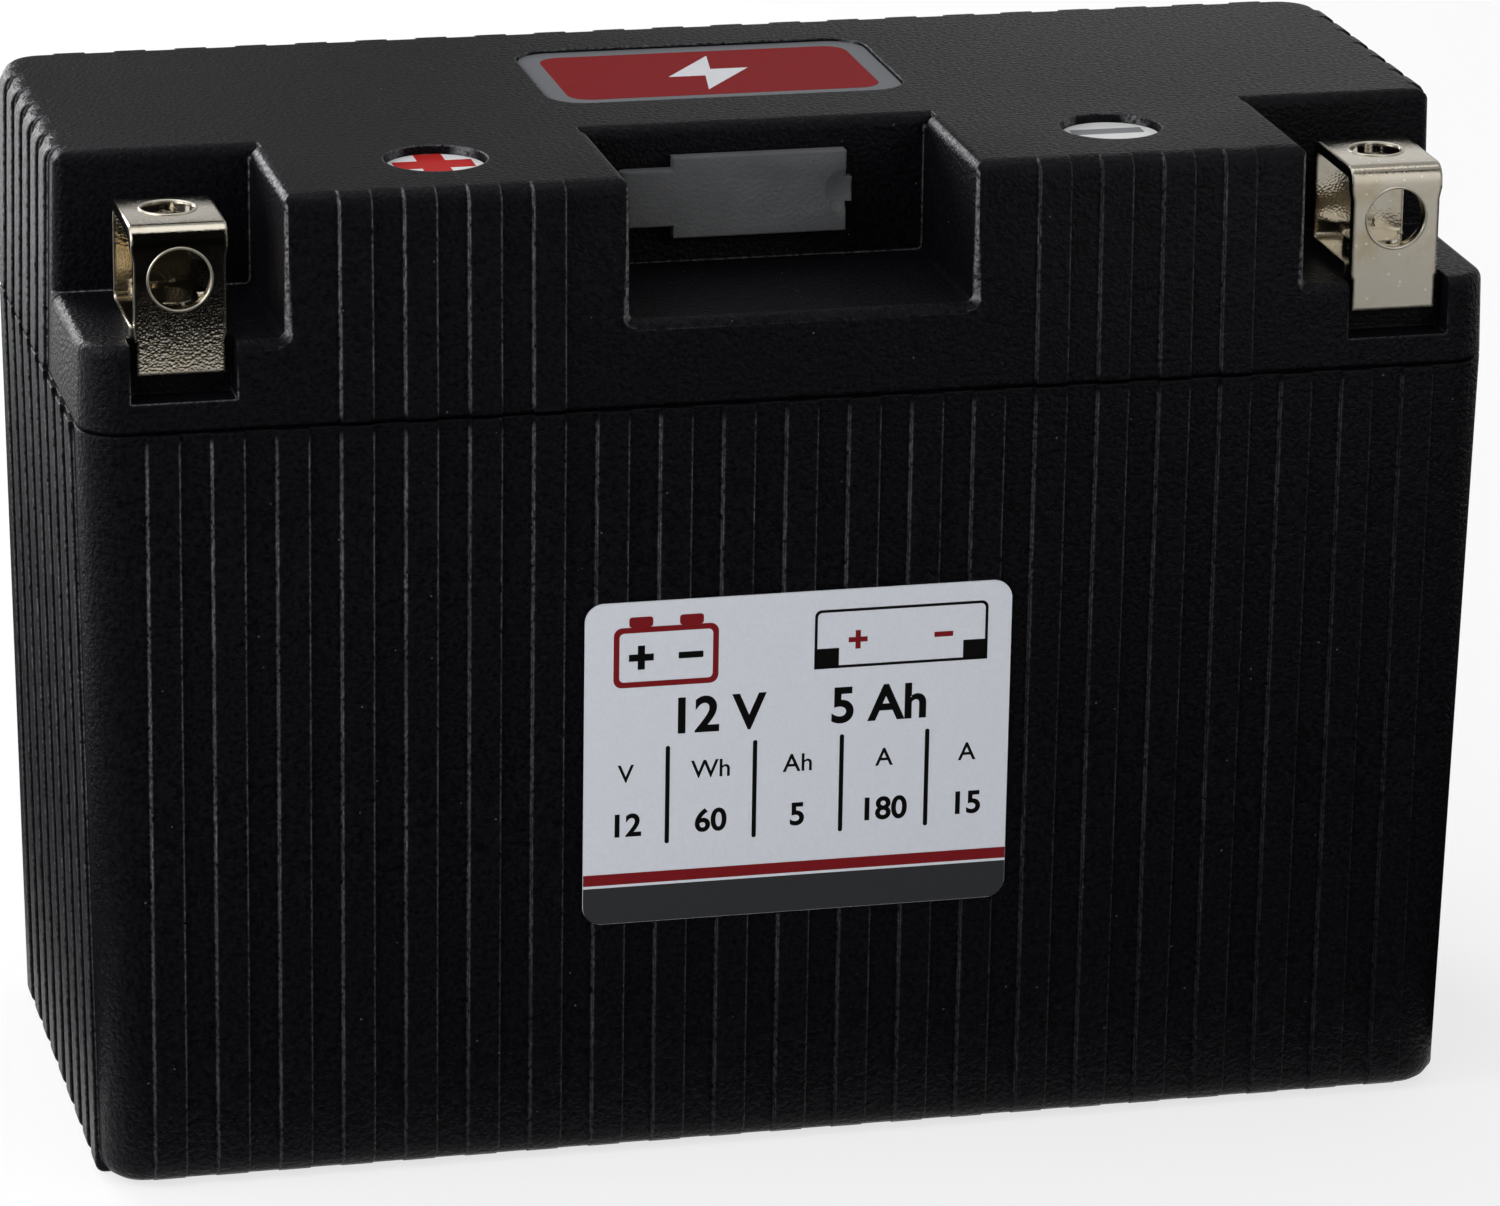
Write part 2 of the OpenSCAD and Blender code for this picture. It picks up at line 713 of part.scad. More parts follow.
// Rivets that join each terminal to its busbar through the floor of the notch
module terminal_rivets() {
    shank = strip_t + lid_wall + seal_t + bar_t;
    color("#c9c4b6")
        both_ends()
            translate([terminal_x, rivet_at_y, notch_floor_z + strip_t]) {
                cylinder(d = rivet_head_d, h = rivet_head_h);
                translate([0, 0, -shank]) cylinder(d = rivet_d, h = shank);
                translate([0, 0, -shank - rivet_head_h]) cylinder(d = rivet_head_d, h = rivet_head_h);
            }
}

module terminal_seals() {
    color("#2a2a2a")
        both_ends()
            translate([terminal_x, rivet_at_y, lid_under_z - seal_t])
                difference() {
                    cylinder(d = seal_d, h = seal_t);
                    translate([0, 0, -cut]) cylinder(d = rivet_d + 2 * hole_gap, h = seal_t + 2 * cut);
                }
}

// Port

// Plate in front of the wall behind the port, between two corners of its front view
module cover_plate(from, to) {
    block([from[0], cover_back_y - cover_t, from[1]], [to[0], cover_back_y, to[1]]);
}

module port_cover() {
    right = cover_x + cover_w / 2;
    plug_w = mouth_w - 2 * plug_gap;
    plug_h = mouth_h - 2 * plug_gap;
    ball_y = cover_back_y - cover_t - dimple_ball_r + dimple_depth;
    color("#a9abae") {
        difference() {
            union() {
                cover_plate([right - cover_w, port_z - cover_h / 2], [right, port_z + cover_h / 2]);
                cover_plate([right - cut, port_z - nub_h / 2], [right + nub_l, port_z + nub_h / 2]);
                cover_plate([hinge_x, port_z - strap_h / 2], [right - cover_w + cut, port_z + strap_h / 2]);
                translate([hinge_x, hinge_y, port_z]) cylinder(d = cover_t, h = strap_h, center = true);
                block([cover_x - plug_w / 2, cover_back_y - cut, port_z - plug_h / 2],
                      [cover_x + plug_w / 2, notch_back_y + plug_d, port_z + plug_h / 2]);
            }
            translate([right, ball_y, port_z]) sphere(dimple_ball_r);
        }
    }
}

function anchor_x() = hinge_x - cover_t / 2 - bend_gap - anchor_l / 2;

// Fixed end of the strap, with a headed peg pushed through the wall
module port_cover_anchor() {
    head_d = peg_d + 2 * socket_wall;
    color("#a9abae") {
        translate([anchor_x(), (notch_back_y + cover_back_y - cover_t) / 2, port_z])
            cube([anchor_l, notch_back_y - cover_back_y + cover_t, strap_h], center = true);
        translate([anchor_x(), notch_back_y - cut, port_z])
            rotate([-90, 0, 0]) cylinder(d = peg_d, h = cut + lid_wall + socket_wall);
        translate([anchor_x(), notch_back_y + lid_wall, port_z])
            rotate([-90, 0, 0]) cylinder(d = head_d, h = socket_wall);
    }
}

function pin_x(i) = cover_x + (i - (pin_count - 1) / 2) * pin_pitch;

// Rectangle of the socket's front view, run along Y between two places
module port_bar(w, h, from_y, to_y) {
    block([cover_x - w / 2, from_y, port_z - h / 2], [cover_x + w / 2, to_y, port_z + h / 2]);
}

module port_socket() {
    rim_w = socket_w + 2 * socket_rim;
    rim_h = socket_h + 2 * socket_rim;
    rim_y = notch_back_y + lid_wall;
    fit_w = socket_w - 4 * hole_gap;
    fit_h = socket_h - 4 * hole_gap;
    color("#e4e2da")
        difference() {
            union() {
                port_bar(fit_w, fit_h, notch_back_y, socket_end_y);
                port_bar(rim_w, rim_h, rim_y, rim_y + socket_back);
            }
            port_bar(mouth_w, mouth_h, notch_back_y - cut, notch_back_y + mouth_d);
            for (i = [0 : pin_count - 1])
                translate([pin_x(i), notch_back_y, port_z])
                    rotate([-90, 0, 0]) cylinder(d = pin_d + 2 * hole_gap, h = pin_end_y - notch_back_y);
        }
}

module port_pins() {
    l = pin_l + socket_back + pin_tail;
    color("#c8b070")
        for (i = [0 : pin_count - 1])
            translate([pin_x(i), pin_end_y - l, port_z]) rotate([-90, 0, 0]) cylinder(d = pin_d, h = l);
}

// Ribbon from the pins' tails back, round a bend and down to the board
module port_ribbon() {
    run = ribbon_r;
    color("#8f9296")
        translate([cover_x - ribbon_w / 2, pin_end_y, port_z])
            rotate([90, 0, 90])
                linear_extrude(ribbon_w) {
                    translate([0, -ribbon_t / 2]) square([run, ribbon_t]);
                    translate([run, -ribbon_r])
                        intersection() {
                            difference() {
                                circle(ribbon_r + ribbon_t / 2);
                                circle(ribbon_r - ribbon_t / 2);
                            }
                            square(ribbon_r + ribbon_t);
                        }
                    translate([run + ribbon_r - ribbon_t / 2, board_top_z - port_z])
                        square([ribbon_t, port_z - ribbon_r - board_top_z]);
                }
}

// Marks, badge and label

// Distance of the polarity marks from the middle, centred on the pillars
function mark_x() = (port_notch_w / 2 + terminal_notch_x) / 2;

module polarity_mark(x) {
    translate([x, front_y + mark_y, body_h - mark_depth]) cylinder(d = mark_d - 2 * mark_gap, h = mark_t);
}

module polarity_mark_positive() {
    color("#d8dadb") polarity_mark(-mark_x());
}

module polarity_mark_negative() {
    color("#d8dadb") polarity_mark(mark_x());
}

module top_badge() {
    color("#a61f28")
        translate([0, -front_y - badge_y, body_h - badge_depth])
            linear_extrude(badge_t)
                round_rect(badge_w - 2 * mark_gap, badge_d - 2 * mark_gap, badge_r - mark_gap);
}

// Label lying on the ribs, which lean with the case
module front_label() {
    color("#d3d6da")
        translate([0, front_y, seam_z])
            rotate([case_draft, 0, 0])
                translate([0, 0, -label_drop / cos(case_draft)])
                    rotate([90, 0, 0]) linear_extrude(label_t) round_rect(label_w, label_h, label_r);
}

// Cells

// Pouch with sloped edges, seals at its ends and a seal along its top
module cell(i) {
    color("#b7bcc2")
        translate([0, cell_y(i), cell_z + cell_h / 2]) {
            hull() {
                cube([cell_w, seal_strip_t, cell_h], center = true);
                cube([cell_w - 2 * cell_slope, cell_t, cell_h - 2 * cell_slope], center = true);
            }
            cube([cell_w + 2 * seal_strip_w, seal_strip_t, cell_h - 2 * cell_slope], center = true);
            translate([0, 0, (cell_h + seal_strip_h) / 2 - seal_strip_w / 2])
                cube([cell_w, seal_strip_t, seal_strip_h + seal_strip_w], center = true);
        }
}

module separator(i) {
    color("#e8e6df")
        translate([0, (cell_y(i) + cell_y(i + 1)) / 2, cell_z + cell_h / 2])
            cube([cell_w - 2 * cell_slope, separator_t, cell_h - 2 * cell_slope], center = true);
}

module tab(x, i) {
    block([x - tab_w / 2, cell_y(i) - tab_t / 2, seal_top_z],
        [x + tab_w / 2, cell_y(i) + tab_t / 2, tab_top_z]);
}

module positive_tabs() {
    color("#c6cace")
        for (i = [0 : cell_count - 1])
            tab(positive_x(i), i);
}

module negative_tabs() {
    color("#b88a5a")
        for (i = [0 : cell_count - 1])
            tab(-positive_x(i), i);
}

// Slots for the tabs that come through the board
module tab_slots(z0, z1) {
    for (i = [0 : cell_count - 1], x = [-tab_x, tab_x])
        block([x - tab_w / 2 - tab_gap, cell_y(i) - tab_t / 2 - tab_gap, z0],
              [x + tab_w / 2 + tab_gap, cell_y(i) + tab_t / 2 + tab_gap, z1]);
}

// Board

module tab_board() {
    color("#1f5c3a")
        difference() {
            block([-board_w / 2, -board_d / 2, board_z], [board_w / 2, board_d / 2, board_top_z]);
            tab_slots(board_z - cut, board_top_z + cut);
            board_posts(screw_d + 6 * hole_gap, board_z - cut, board_top_z + cut);
        }
}

module board_screws() {
    color("#8d9095")
        at_corners(2 * post_x, 2 * post_y) {
            translate([0, 0, board_top_z]) cylinder(d = screw_head_d, h = screw_head_h);
            translate([0, 0, board_top_z - screw_l]) cylinder(d = screw_d, h = screw_l);
        }
}

// Links that join each cell's negative tab to the next cell's positive tab
module series_links() {
    color("#c08a55")
        difference() {
            for (i = [0 : cell_count - 2]) {
                x = -positive_x(i);
                block([x - bar_reach, cell_y(i) - link_reach, board_top_z],
                      [x + bar_reach, cell_y(i + 1) + link_reach, link_top_z]);
            }
            tab_slots(board_top_z - cut, link_top_z + cut);
        }
}

// Riser from the board up to the rivet of the right-hand terminal
module busbar_riser() {
    difference() {
        union() {
            block([bar_rise_x, bar_y - bar_w / 2, board_top_z],
                  [bar_rise_x + bar_t, bar_y + bar_w / 2, bar_top_z]);
            block([bar_rise_x, bar_y - bar_w / 2, bar_top_z - bar_t],
                  [terminal_x + seal_d / 2, bar_y + bar_w / 2, bar_top_z]);
        }
        translate([terminal_x, rivet_at_y, bar_top_z - bar_t - cut])
            cylinder(d = rivet_d + 2 * hole_gap, h = bar_t + 2 * cut);
    }
}

// Flat run of a busbar on the board
module flat_bar(from, to) {
    block([from[0], from[1], board_top_z], [to[0], to[1], link_top_z]);
}

module positive_busbar() {
    color("#c08a55") {
        mirror([1, 0, 0]) busbar_riser();
        difference() {
            flat_bar([-bar_rise_x, bar_y - bar_w / 2], [bar_reach - tab_x, bar_y + bar_w / 2]);
            tab_slots(board_top_z - cut, link_top_z + cut);
        }
    }
}

// The last cell ends on the left, so this bar crosses the board between the links
module negative_busbar() {
    y = cell_y(cell_count - 1);
    turn_x = bar_neck_x + bar_neck_w;
    color("#c08a55") {
        busbar_riser();
        difference() {
            union() {
                flat_bar([-tab_x - bar_reach, y - link_reach], [turn_x, y + link_reach]);
                flat_bar([bar_neck_x, -bar_neck_w / 2], [turn_x, y]);
                flat_bar([bar_neck_x, -bar_neck_w / 2], [bar_rise_x, bar_neck_w / 2]);
                flat_bar([bar_rise_x - bar_neck_w, bar_y - bar_w / 2], [bar_rise_x + bar_t, bar_neck_w / 2]);
            }
            tab_slots(board_top_z - cut, link_top_z + cut);
        }
    }
}

// Foam

module foam_base() {
    color("#3a3d42")
        block([-cell_w / 2, -stack_d / 2, case_floor], [cell_w / 2, stack_d / 2, cell_z]);
}

// Pad between the right-hand end of the cells and the wall of the case
module foam_end() {
    inner = cell_w / 2 + seal_strip_w + foam_gap;
    outer = cavity_w / 2 - case_lean(cell_z) - foam_gap;
    half_d = post_y - post_d / 2 - foam_post_gap;
    block([inner, -half_d, cell_z], [outer, half_d, cell_z + cell_h - foam_end_drop]);
}

module foam_left() {
    color("#3a3d42") mirror([1, 0, 0]) foam_end();
}

module foam_right() {
    color("#3a3d42") foam_end();
}

case();
lid();
terminal_positive();
terminal_negative();
terminal_rivets();
terminal_seals();
port_cover();
port_cover_anchor();
port_socket();
port_pins();
port_ribbon();
polarity_mark_positive();
polarity_mark_negative();
top_badge();
front_label();
cell(0);  // cell_1
cell(1);  // cell_2
cell(2);  // cell_3
cell(3);  // cell_4
separator(0);  // separator_1
separator(1);  // separator_2
separator(2);  // separator_3
positive_tabs();
negative_tabs();
tab_board();
series_links();
positive_busbar();
negative_busbar();
board_screws();
foam_base();
foam_left();
foam_right();
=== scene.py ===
# %% [markdown]
# A motorcycle starter battery
# The CAD model gives every solid of the battery in metres, in its real place. This lesson dresses
# those solids: it rounds the moulded edges, gives each part its finish, prints the label, the badge
# and the polarity marks, and sets up a small studio round them.

# %% Load the frame
import json
import math

import bpy
from mathutils import Matrix, Vector


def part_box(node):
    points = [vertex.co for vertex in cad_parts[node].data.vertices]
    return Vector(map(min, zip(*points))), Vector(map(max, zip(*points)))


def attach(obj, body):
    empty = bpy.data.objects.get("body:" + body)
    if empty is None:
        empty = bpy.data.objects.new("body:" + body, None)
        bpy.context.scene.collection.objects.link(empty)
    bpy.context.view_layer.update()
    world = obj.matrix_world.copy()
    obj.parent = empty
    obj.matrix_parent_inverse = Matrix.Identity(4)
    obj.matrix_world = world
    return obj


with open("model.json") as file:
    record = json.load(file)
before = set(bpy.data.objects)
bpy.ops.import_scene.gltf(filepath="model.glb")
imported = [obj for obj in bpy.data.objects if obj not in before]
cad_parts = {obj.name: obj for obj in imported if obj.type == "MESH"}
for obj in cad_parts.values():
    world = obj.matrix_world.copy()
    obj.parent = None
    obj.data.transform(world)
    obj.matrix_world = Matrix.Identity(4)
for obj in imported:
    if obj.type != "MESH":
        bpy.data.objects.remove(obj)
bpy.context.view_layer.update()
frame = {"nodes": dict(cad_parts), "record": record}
nodes = frame["nodes"]
scene = bpy.context.scene
scene.view_settings.view_transform = "Standard"
MM = 0.001

# %% [markdown]
# Camera
# The photograph was taken from the front, a little to the left and above, with a long lens, so the
# upright edges hardly converge. The place, the aim and the small roll below were worked out from the
# seam, the ribs and the corners. A matrix built from three axes holds all of that without rotation
# angles that could be read in the wrong order.

# %% Camera
eye = Vector((-165.57, -701.97, 285.50)) * MM
aim = Vector((2.57, 0.0, 48.91)) * MM
roll = math.radians(0.716)
back = (eye - aim).normalized()
level = Vector((0, 0, 1)).cross(back).normalized()
plumb = back.cross(level)
right = level * math.cos(roll) + plumb * math.sin(roll)
up = plumb * math.cos(roll) - level * math.sin(roll)
camera = bpy.data.objects.new("camera", bpy.data.cameras.new("camera"))
camera.matrix_world = Matrix.Translation(eye) @ Matrix((right, up, back)).transposed().to_4x4()
camera.data.lens = 170.1
camera.data.sensor_width = 36
camera.data.sensor_fit = "HORIZONTAL"
scene.collection.objects.link(camera)
scene.camera = camera
print("camera", round((eye - aim).length, 3), "m away")

# %% [markdown]
# Helpers for materials
# Colours are written as sRGB hex values, as a paint program shows them, and `linear` turns one into
# the linear values that the renderer adds up. `add` makes a shader node, sets its values and joins
# its inputs, so that a finish reads as a short list. Inputs can go by number: in a MapRange node, 1 and
# 2 are the range that comes in, and 3 and 4 the range that goes out. `finish` starts a material and
# gives the coordinates of the part in metres, so a pattern of a known size in millimetres has the
# scale 1000 / size.

# %% Helpers for materials
def linear(code):
    values = [int(code[i:i + 2], 16) / 255 for i in (1, 3, 5)]
    return [v / 12.92 if v <= 0.04045 else ((v + 0.055) / 1.055) ** 2.4 for v in values] + [1.0]


def add(tree, kind, settings=None, links=None):
    node = tree.nodes.new("ShaderNode" + kind)
    for key, value in (settings or {}).items():
        if isinstance(key, str) and hasattr(node, key):
            setattr(node, key, value)
        else:
            node.inputs[key].default_value = value
    for key, socket in (links or {}).items():
        tree.links.new(socket, node.inputs[key])
    return node


def finish(name, **values):
    material = bpy.data.materials.new(name)
    material.use_nodes = True
    tree = material.node_tree
    shader = tree.nodes["Principled BSDF"]
    for key, value in values.items():
        shader.inputs[key.replace("_", " ")].default_value = value
    place = add(tree, "TexCoord").outputs["Object"]
    return material, tree, shader, place


def per_mm(size):
    return 1000.0 / size


def wear(node_names, material):
    for name in node_names:
        for slot in nodes[name].material_slots:
            slot.material = material


print("black", [round(v, 4) for v in linear("#0d0d0f")])

# %% [markdown]
# White sweep
# The battery stands on a sweep of matt white paper. To look plain white by light alone, the paper
# would have to be lit so brightly that it would light the black part from below. So rays that come
# from the camera, a reflection or glass see most of it as plain white, and the rest of it is an
# ordinary white diffuse surface, which keeps the soft shadow.

# %% World and floor
WORLD_LIGHT = 0.40
FLOOR_GLOW = 0.72
FLOOR_HALF = 12.0
FLOOR_DROP = 0.2 * MM
world = bpy.data.worlds.new("studio")
scene.world = world
world.use_nodes = True
world.node_tree.nodes["Background"].inputs["Color"].default_value = [1.0, 1.0, 1.0, 1.0]
world.node_tree.nodes["Background"].inputs["Strength"].default_value = WORLD_LIGHT

# Matt paper: no shine, only an even white
sweep, tree, shader, place = finish("white paper sweep", Roughness=0.9)
shader.inputs["Base Color"].default_value = linear("#fafafa")
seen = add(tree, "LightPath")
direct = add(tree, "Math", {"operation": "MAXIMUM"},
             {0: seen.outputs["Is Camera Ray"], 1: seen.outputs["Is Glossy Ray"]})
any_ray = add(tree, "Math", {"operation": "MAXIMUM"},
              {0: direct.outputs[0], 1: seen.outputs["Is Transmission Ray"]})
share = add(tree, "Math", {"operation": "MULTIPLY", 1: FLOOR_GLOW}, {0: any_ray.outputs[0]})
glow = add(tree, "Emission", {"Strength": 1.0})
mix = add(tree, "MixShader", None, {0: share.outputs[0], 1: shader.outputs[0], 2: glow.outputs[0]})
tree.links.new(mix.outputs[0], tree.nodes["Material Output"].inputs["Surface"])

floor_mesh = bpy.data.meshes.new("floor")
floor_corners = [(x * FLOOR_HALF, y * FLOOR_HALF, 0) for x, y in ((-1, -1), (1, -1), (1, 1), (-1, 1))]
floor_mesh.from_pydata(floor_corners, [], [(0, 1, 2, 3)])
floor = bpy.data.objects.new("floor", floor_mesh)
floor.location.z = -FLOOR_DROP
floor_mesh.materials.append(sweep)
scene.collection.objects.link(floor)
print("floor", 2 * FLOOR_HALF, "m wide")

# %% [markdown]
# Lamps
# A large softbox overhead and one at the front left give the even light. One at the left and a small
# one nearer light the ribs of that end, and a low one grazes its wall. The softboxes behind draw
# bright lines along the rounded edges of the top, and the smallest of them puts a shine on the
# left-hand terminal. The one at the front right is seen in reflections only: it brings out the grain
# at the right without making the black any paler. `softbox` aims a rectangle of light at a target.

# %% Lamps
def softbox(name, place, target, size, power):
    lamp = bpy.data.lights.new(name, "AREA")
    lamp.shape = "RECTANGLE"
    lamp.size, lamp.size_y = size
    lamp.energy = power
    holder = bpy.data.objects.new(name, lamp)
    holder.location = place
    holder.rotation_euler = (Vector(target) - Vector(place)).to_track_quat("-Z", "Y").to_euler()
    holder.visible_camera = False
    scene.collection.objects.link(holder)
    return holder


softbox("overhead softbox", (-0.10, 0.05, 0.95), (0, 0, 0.05), (0.8, 0.8), 2.0)
softbox("front softbox", (-0.45, -0.75, 0.34), (0, 0, 0.05), (0.5, 0.5), 0.9)
shine = softbox("front right softbox", (0.20, -0.28, 0.26), (0.04, -0.03, 0.07), (0.16, 0.16), 0.8)
shine.visible_diffuse = False
softbox("near left softbox", (-0.21, -0.10, 0.17), (-0.03, -0.033, 0.06), (0.08, 0.12), 0.12)
softbox("left softbox", (-0.48, 0.0, 0.30), (-0.07, 0, 0.06), (0.35, 0.35), 0.8)
softbox("rear left softbox", (-0.36, 0.85, 0.34), (-0.04, 0, 0.09), (0.42, 0.34), 5.5)
softbox("low kicker", (-0.17, 0.28, 0.065), (-0.07, -0.02, 0.085), (0.18, 0.12), 0.1)
softbox("rear right softbox", (0.50, 0.85, 0.30), (0.04, 0, 0.09), (0.5, 0.3), 0.17)
softbox("small rear softbox", (-0.0165, 0.30, 0.192), (-0.065, -0.025, 0.105), (0.07, 0.06), 0.008)

# %% [markdown]
# Black cloth and cards
# A black part shows whatever stands round it, so a photographer hangs black cloth where it has to
# stay black, and puts a white card where metal has to shine. The cloth, the boards and the cards here
# are seen only in reflections, because they stand outside the picture. Each is one flat face of a
# matt colour, so that nothing shines back from it.

# %% Black cloth and cards
CLOTH = "#040404"
CARD = "#e6e6e6"
SHEET_DROP = 0.1 * MM


def hung(name, corners, code):
    paint, tree, shader, place = finish(name, Roughness=1.0, Specular_IOR_Level=0.0)
    shader.inputs["Base Color"].default_value = linear(code)
    mesh = bpy.data.meshes.new(name)
    mesh.from_pydata(corners, [], [(0, 1, 2, 3)])
    mesh.materials.append(paint)
    sheet = bpy.data.objects.new(name, mesh)
    for kind in ("camera", "diffuse", "shadow", "transmission", "volume_scatter"):
        setattr(sheet, "visible_" + kind, False)
    scene.collection.objects.link(sheet)


def upright(y, x0, z0, x1, z1):
    return [(x0, y, z0), (x1, y, z0), (x1, y, z1), (x0, y, z1)]


def lying(x0, y0, x1, y1):
    return [(x, y, -SHEET_DROP) for x, y in ((x0, y0), (x1, y0), (x1, y1), (x0, y1))]


hung("black cloth in front", upright(-0.13, -0.16, 0, 0.4, 0.4), CLOTH)
hung("black cloth on the table", lying(-0.10, -0.13, 0.4, -0.036), CLOTH)
hung("black cloth at the right", lying(0.078, -0.036, 0.4, 0.2), CLOTH)
hung("black cloth behind", lying(-0.18, -0.01, -0.078, 0.5), CLOTH)
hung("grey board at the left", lying(-0.6, -0.35, -0.10, -0.01), "#3c3c3c")
hung("dark board behind", upright(0.36, -0.15, 0.11, 0.05, 0.40), "#202020")
hung("left card", upright(-0.129, -0.06, 0.036, -0.02, 0.0575), CARD)
hung("right card", upright(-0.129, 0.062, 0.040, 0.125, 0.40), CARD)

# %% [markdown]
# Moulded edges
# A mould has no sharp edges, and it is the small rounds that catch the light and make a black part
# readable. The CAD solids carry the large rounds only. Cutting the small ones into the meshes would
# change the CAD model, so two things stand in for it. A small node group joins the points that the
# file stores twice and marks only real corners as sharp. Then `small_rounds`, used in the finishes of
# the mouldings and the terminals, bends the normal near an edge, so that it is lit as if it were round.

# %% Smooth faces
JOIN_DISTANCE = 0.002 * MM
SHARP_ANGLE = math.radians(30)
smooth = bpy.data.node_groups.new("join and smooth", "GeometryNodeTree")
smooth.interface.new_socket("Geometry", in_out="INPUT", socket_type="NodeSocketGeometry")
smooth.interface.new_socket("Geometry", in_out="OUTPUT", socket_type="NodeSocketGeometry")
group_in = smooth.nodes.new("NodeGroupInput")
group_out = smooth.nodes.new("NodeGroupOutput")
join = smooth.nodes.new("GeometryNodeMergeByDistance")
join.inputs["Distance"].default_value = JOIN_DISTANCE
angle = smooth.nodes.new("GeometryNodeInputMeshEdgeAngle")
corner = smooth.nodes.new("FunctionNodeCompare")
corner.inputs["B"].default_value = SHARP_ANGLE
normal = smooth.nodes.new("GeometryNodeSetMeshNormal")
normal.mode = "SHARPNESS"
normal.inputs["Remove Custom"].default_value = True
smooth.links.new(group_in.outputs[0], join.inputs["Geometry"])
smooth.links.new(join.outputs[0], normal.inputs["Mesh"])
smooth.links.new(angle.outputs["Unsigned Angle"], corner.inputs["A"])
smooth.links.new(corner.outputs[0], normal.inputs["Edge Sharpness"])
smooth.links.new(normal.outputs[0], group_out.inputs[0])
for name in nodes:
    nodes[name].modifiers.new("join and smooth", "NODES").node_group = smooth
print("smoothed", len(nodes), "nodes")

# %% Small rounds
def small_rounds(tree, width):
    """The normal near an edge, rounded over a width in millimetres, and how much it turns there."""
    rounded = add(tree, "Bevel", {"samples": 6, "Radius": width * MM})
    flat = add(tree, "NewGeometry")
    same = add(tree, "VectorMath", {"operation": "DOT_PRODUCT"},
               {0: rounded.outputs[0], 1: flat.outputs["Normal"]})
    turn = add(tree, "MapRange", {1: 0.985, 2: 0.80, 3: 0.0, 4: 1.0}, {0: same.outputs["Value"]})
    return rounded.outputs[0], turn.outputs[0]


print("small rounds ready")

# %% [markdown]
# Black ABS, moulded
# The case and lid are black ABS, injection-moulded in a tool with a fine spark-eroded grain. The grain
# scatters light, so the front stays almost black, while the top, seen at a low angle, turns grey with
# sheen. A noise makes the grain: its peaks are a little paler and glossier than its pits, and it also
# gives the relief. A few specks of dust lie on it, as on any black plastic.

# %% Black ABS
# The real grain is about 0.1 mm wide, too fine to show, so it is drawn at 0.5 mm
GRAIN = 0.5
GRAIN_DEPTH = 0.22 * MM
ABS_ROUND = 0.36
DUST_SPACING = 3.2
abs_black, tree, shader, place = finish("black ABS, spark-grained", IOR=1.54, Specular_IOR_Level=0.08)
round_normal, at_edge = small_rounds(tree, ABS_ROUND)
grain = add(tree, "TexNoise", {"Scale": per_mm(GRAIN), "Detail": 2.0, "Roughness": 0.6}, {"Vector": place})
peak = add(tree, "MapRange", {1: 0.3, 2: 0.7}, {0: grain.outputs["Fac"]}).outputs[0]
resin = add(tree, "Mix", {"data_type": "RGBA", "A": linear("#030305"), "B": linear("#131318")}, {0: peak})
specks = add(tree, "TexVoronoi", {"Scale": per_mm(DUST_SPACING)}, {"Vector": place})
dust = add(tree, "Math", {"operation": "LESS_THAN", 1: 0.035}, {0: specks.outputs["Distance"]})
dusty = add(tree, "Mix", {"data_type": "RGBA", "B": linear("#4c4b49")},
            {0: dust.outputs[0], "A": resin.outputs["Result"]})
gloss = add(tree, "MapRange", {3: 0.46, 4: 0.3}, {0: peak})
tree.links.new(gloss.outputs[0], shader.inputs["Roughness"])
relief = add(tree, "Bump", {"Strength": 1.0, "Distance": GRAIN_DEPTH},
             {"Height": grain.outputs["Fac"], "Normal": round_normal})
tree.links.new(relief.outputs[0], shader.inputs["Normal"])
wear(["case", "lid"], abs_black)
print("finish", abs_black.name)

# %% [markdown]
# Rubbed edges and painted highlights
# Handling rubs the edges pale, and the same pale colour along the edges is also a painted highlight,
# standing in for the light that the small rounds of the ribs catch. It could be painted on by hand, but
# a product of shares does it from the shape alone: the edge itself, patches along it, the peaks of the
# grain, the distance from the seam and from the terminals, where the edges stay dark, and two slow
# changes, which paint the edges paler at the left end and towards the top, where more light falls.

# %% Rubbed edges and painted highlights
SEAM_FROM, SEAM_TO = 0.6 * MM, 1.4 * MM
TERMINAL_FROM, TERMINAL_TO = 12 * MM, 14 * MM
RUB_AND_HIGHLIGHT_PATCH = 5
seam_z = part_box("case")[1].z
end_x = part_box("case")[1].x
top_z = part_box("lid")[1].z
spot = add(tree, "SeparateXYZ", None, {0: place}).outputs
patchy = add(tree, "TexNoise", {"Scale": per_mm(RUB_AND_HIGHLIGHT_PATCH), "Detail": 4.0}, {"Vector": place})
off_seam = add(tree, "Math", {"operation": "SUBTRACT", 1: seam_z}, {0: spot["Z"]})
from_seam = add(tree, "Math", {"operation": "ABSOLUTE"}, {0: off_seam.outputs[0]})
open_edge = add(tree, "MapRange", {1: SEAM_FROM, 2: SEAM_TO}, {0: from_seam.outputs[0]})

# Both terminals are measured at once, with the left-hand half folded over the right-hand one
across = add(tree, "Math", {"operation": "ABSOLUTE"}, {0: spot["X"]}).outputs[0]
folded = add(tree, "CombineXYZ", None, {0: across, 1: spot["Y"], 2: spot["Z"]})
low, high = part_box("terminal_negative")
away = add(tree, "VectorMath", {"operation": "DISTANCE", 1: (low + high) / 2}, {0: folded.outputs[0]})
clear_of_terminals = add(tree, "MapRange", {1: TERMINAL_FROM, 2: TERMINAL_TO}, {0: away.outputs["Value"]})
# Painted highlight: the edges are painted paler towards the left end and towards the top, where more light
# falls
painted_light_from_left = add(tree, "MapRange", {1: -end_x, 2: end_x, 3: 1.5, 4: 0.25}, {0: spot["X"]})
painted_light_towards_top = add(tree, "MapRange", {1: 0.0, 2: top_z, 3: 0.7, 4: 1.9}, {0: spot["Z"]})
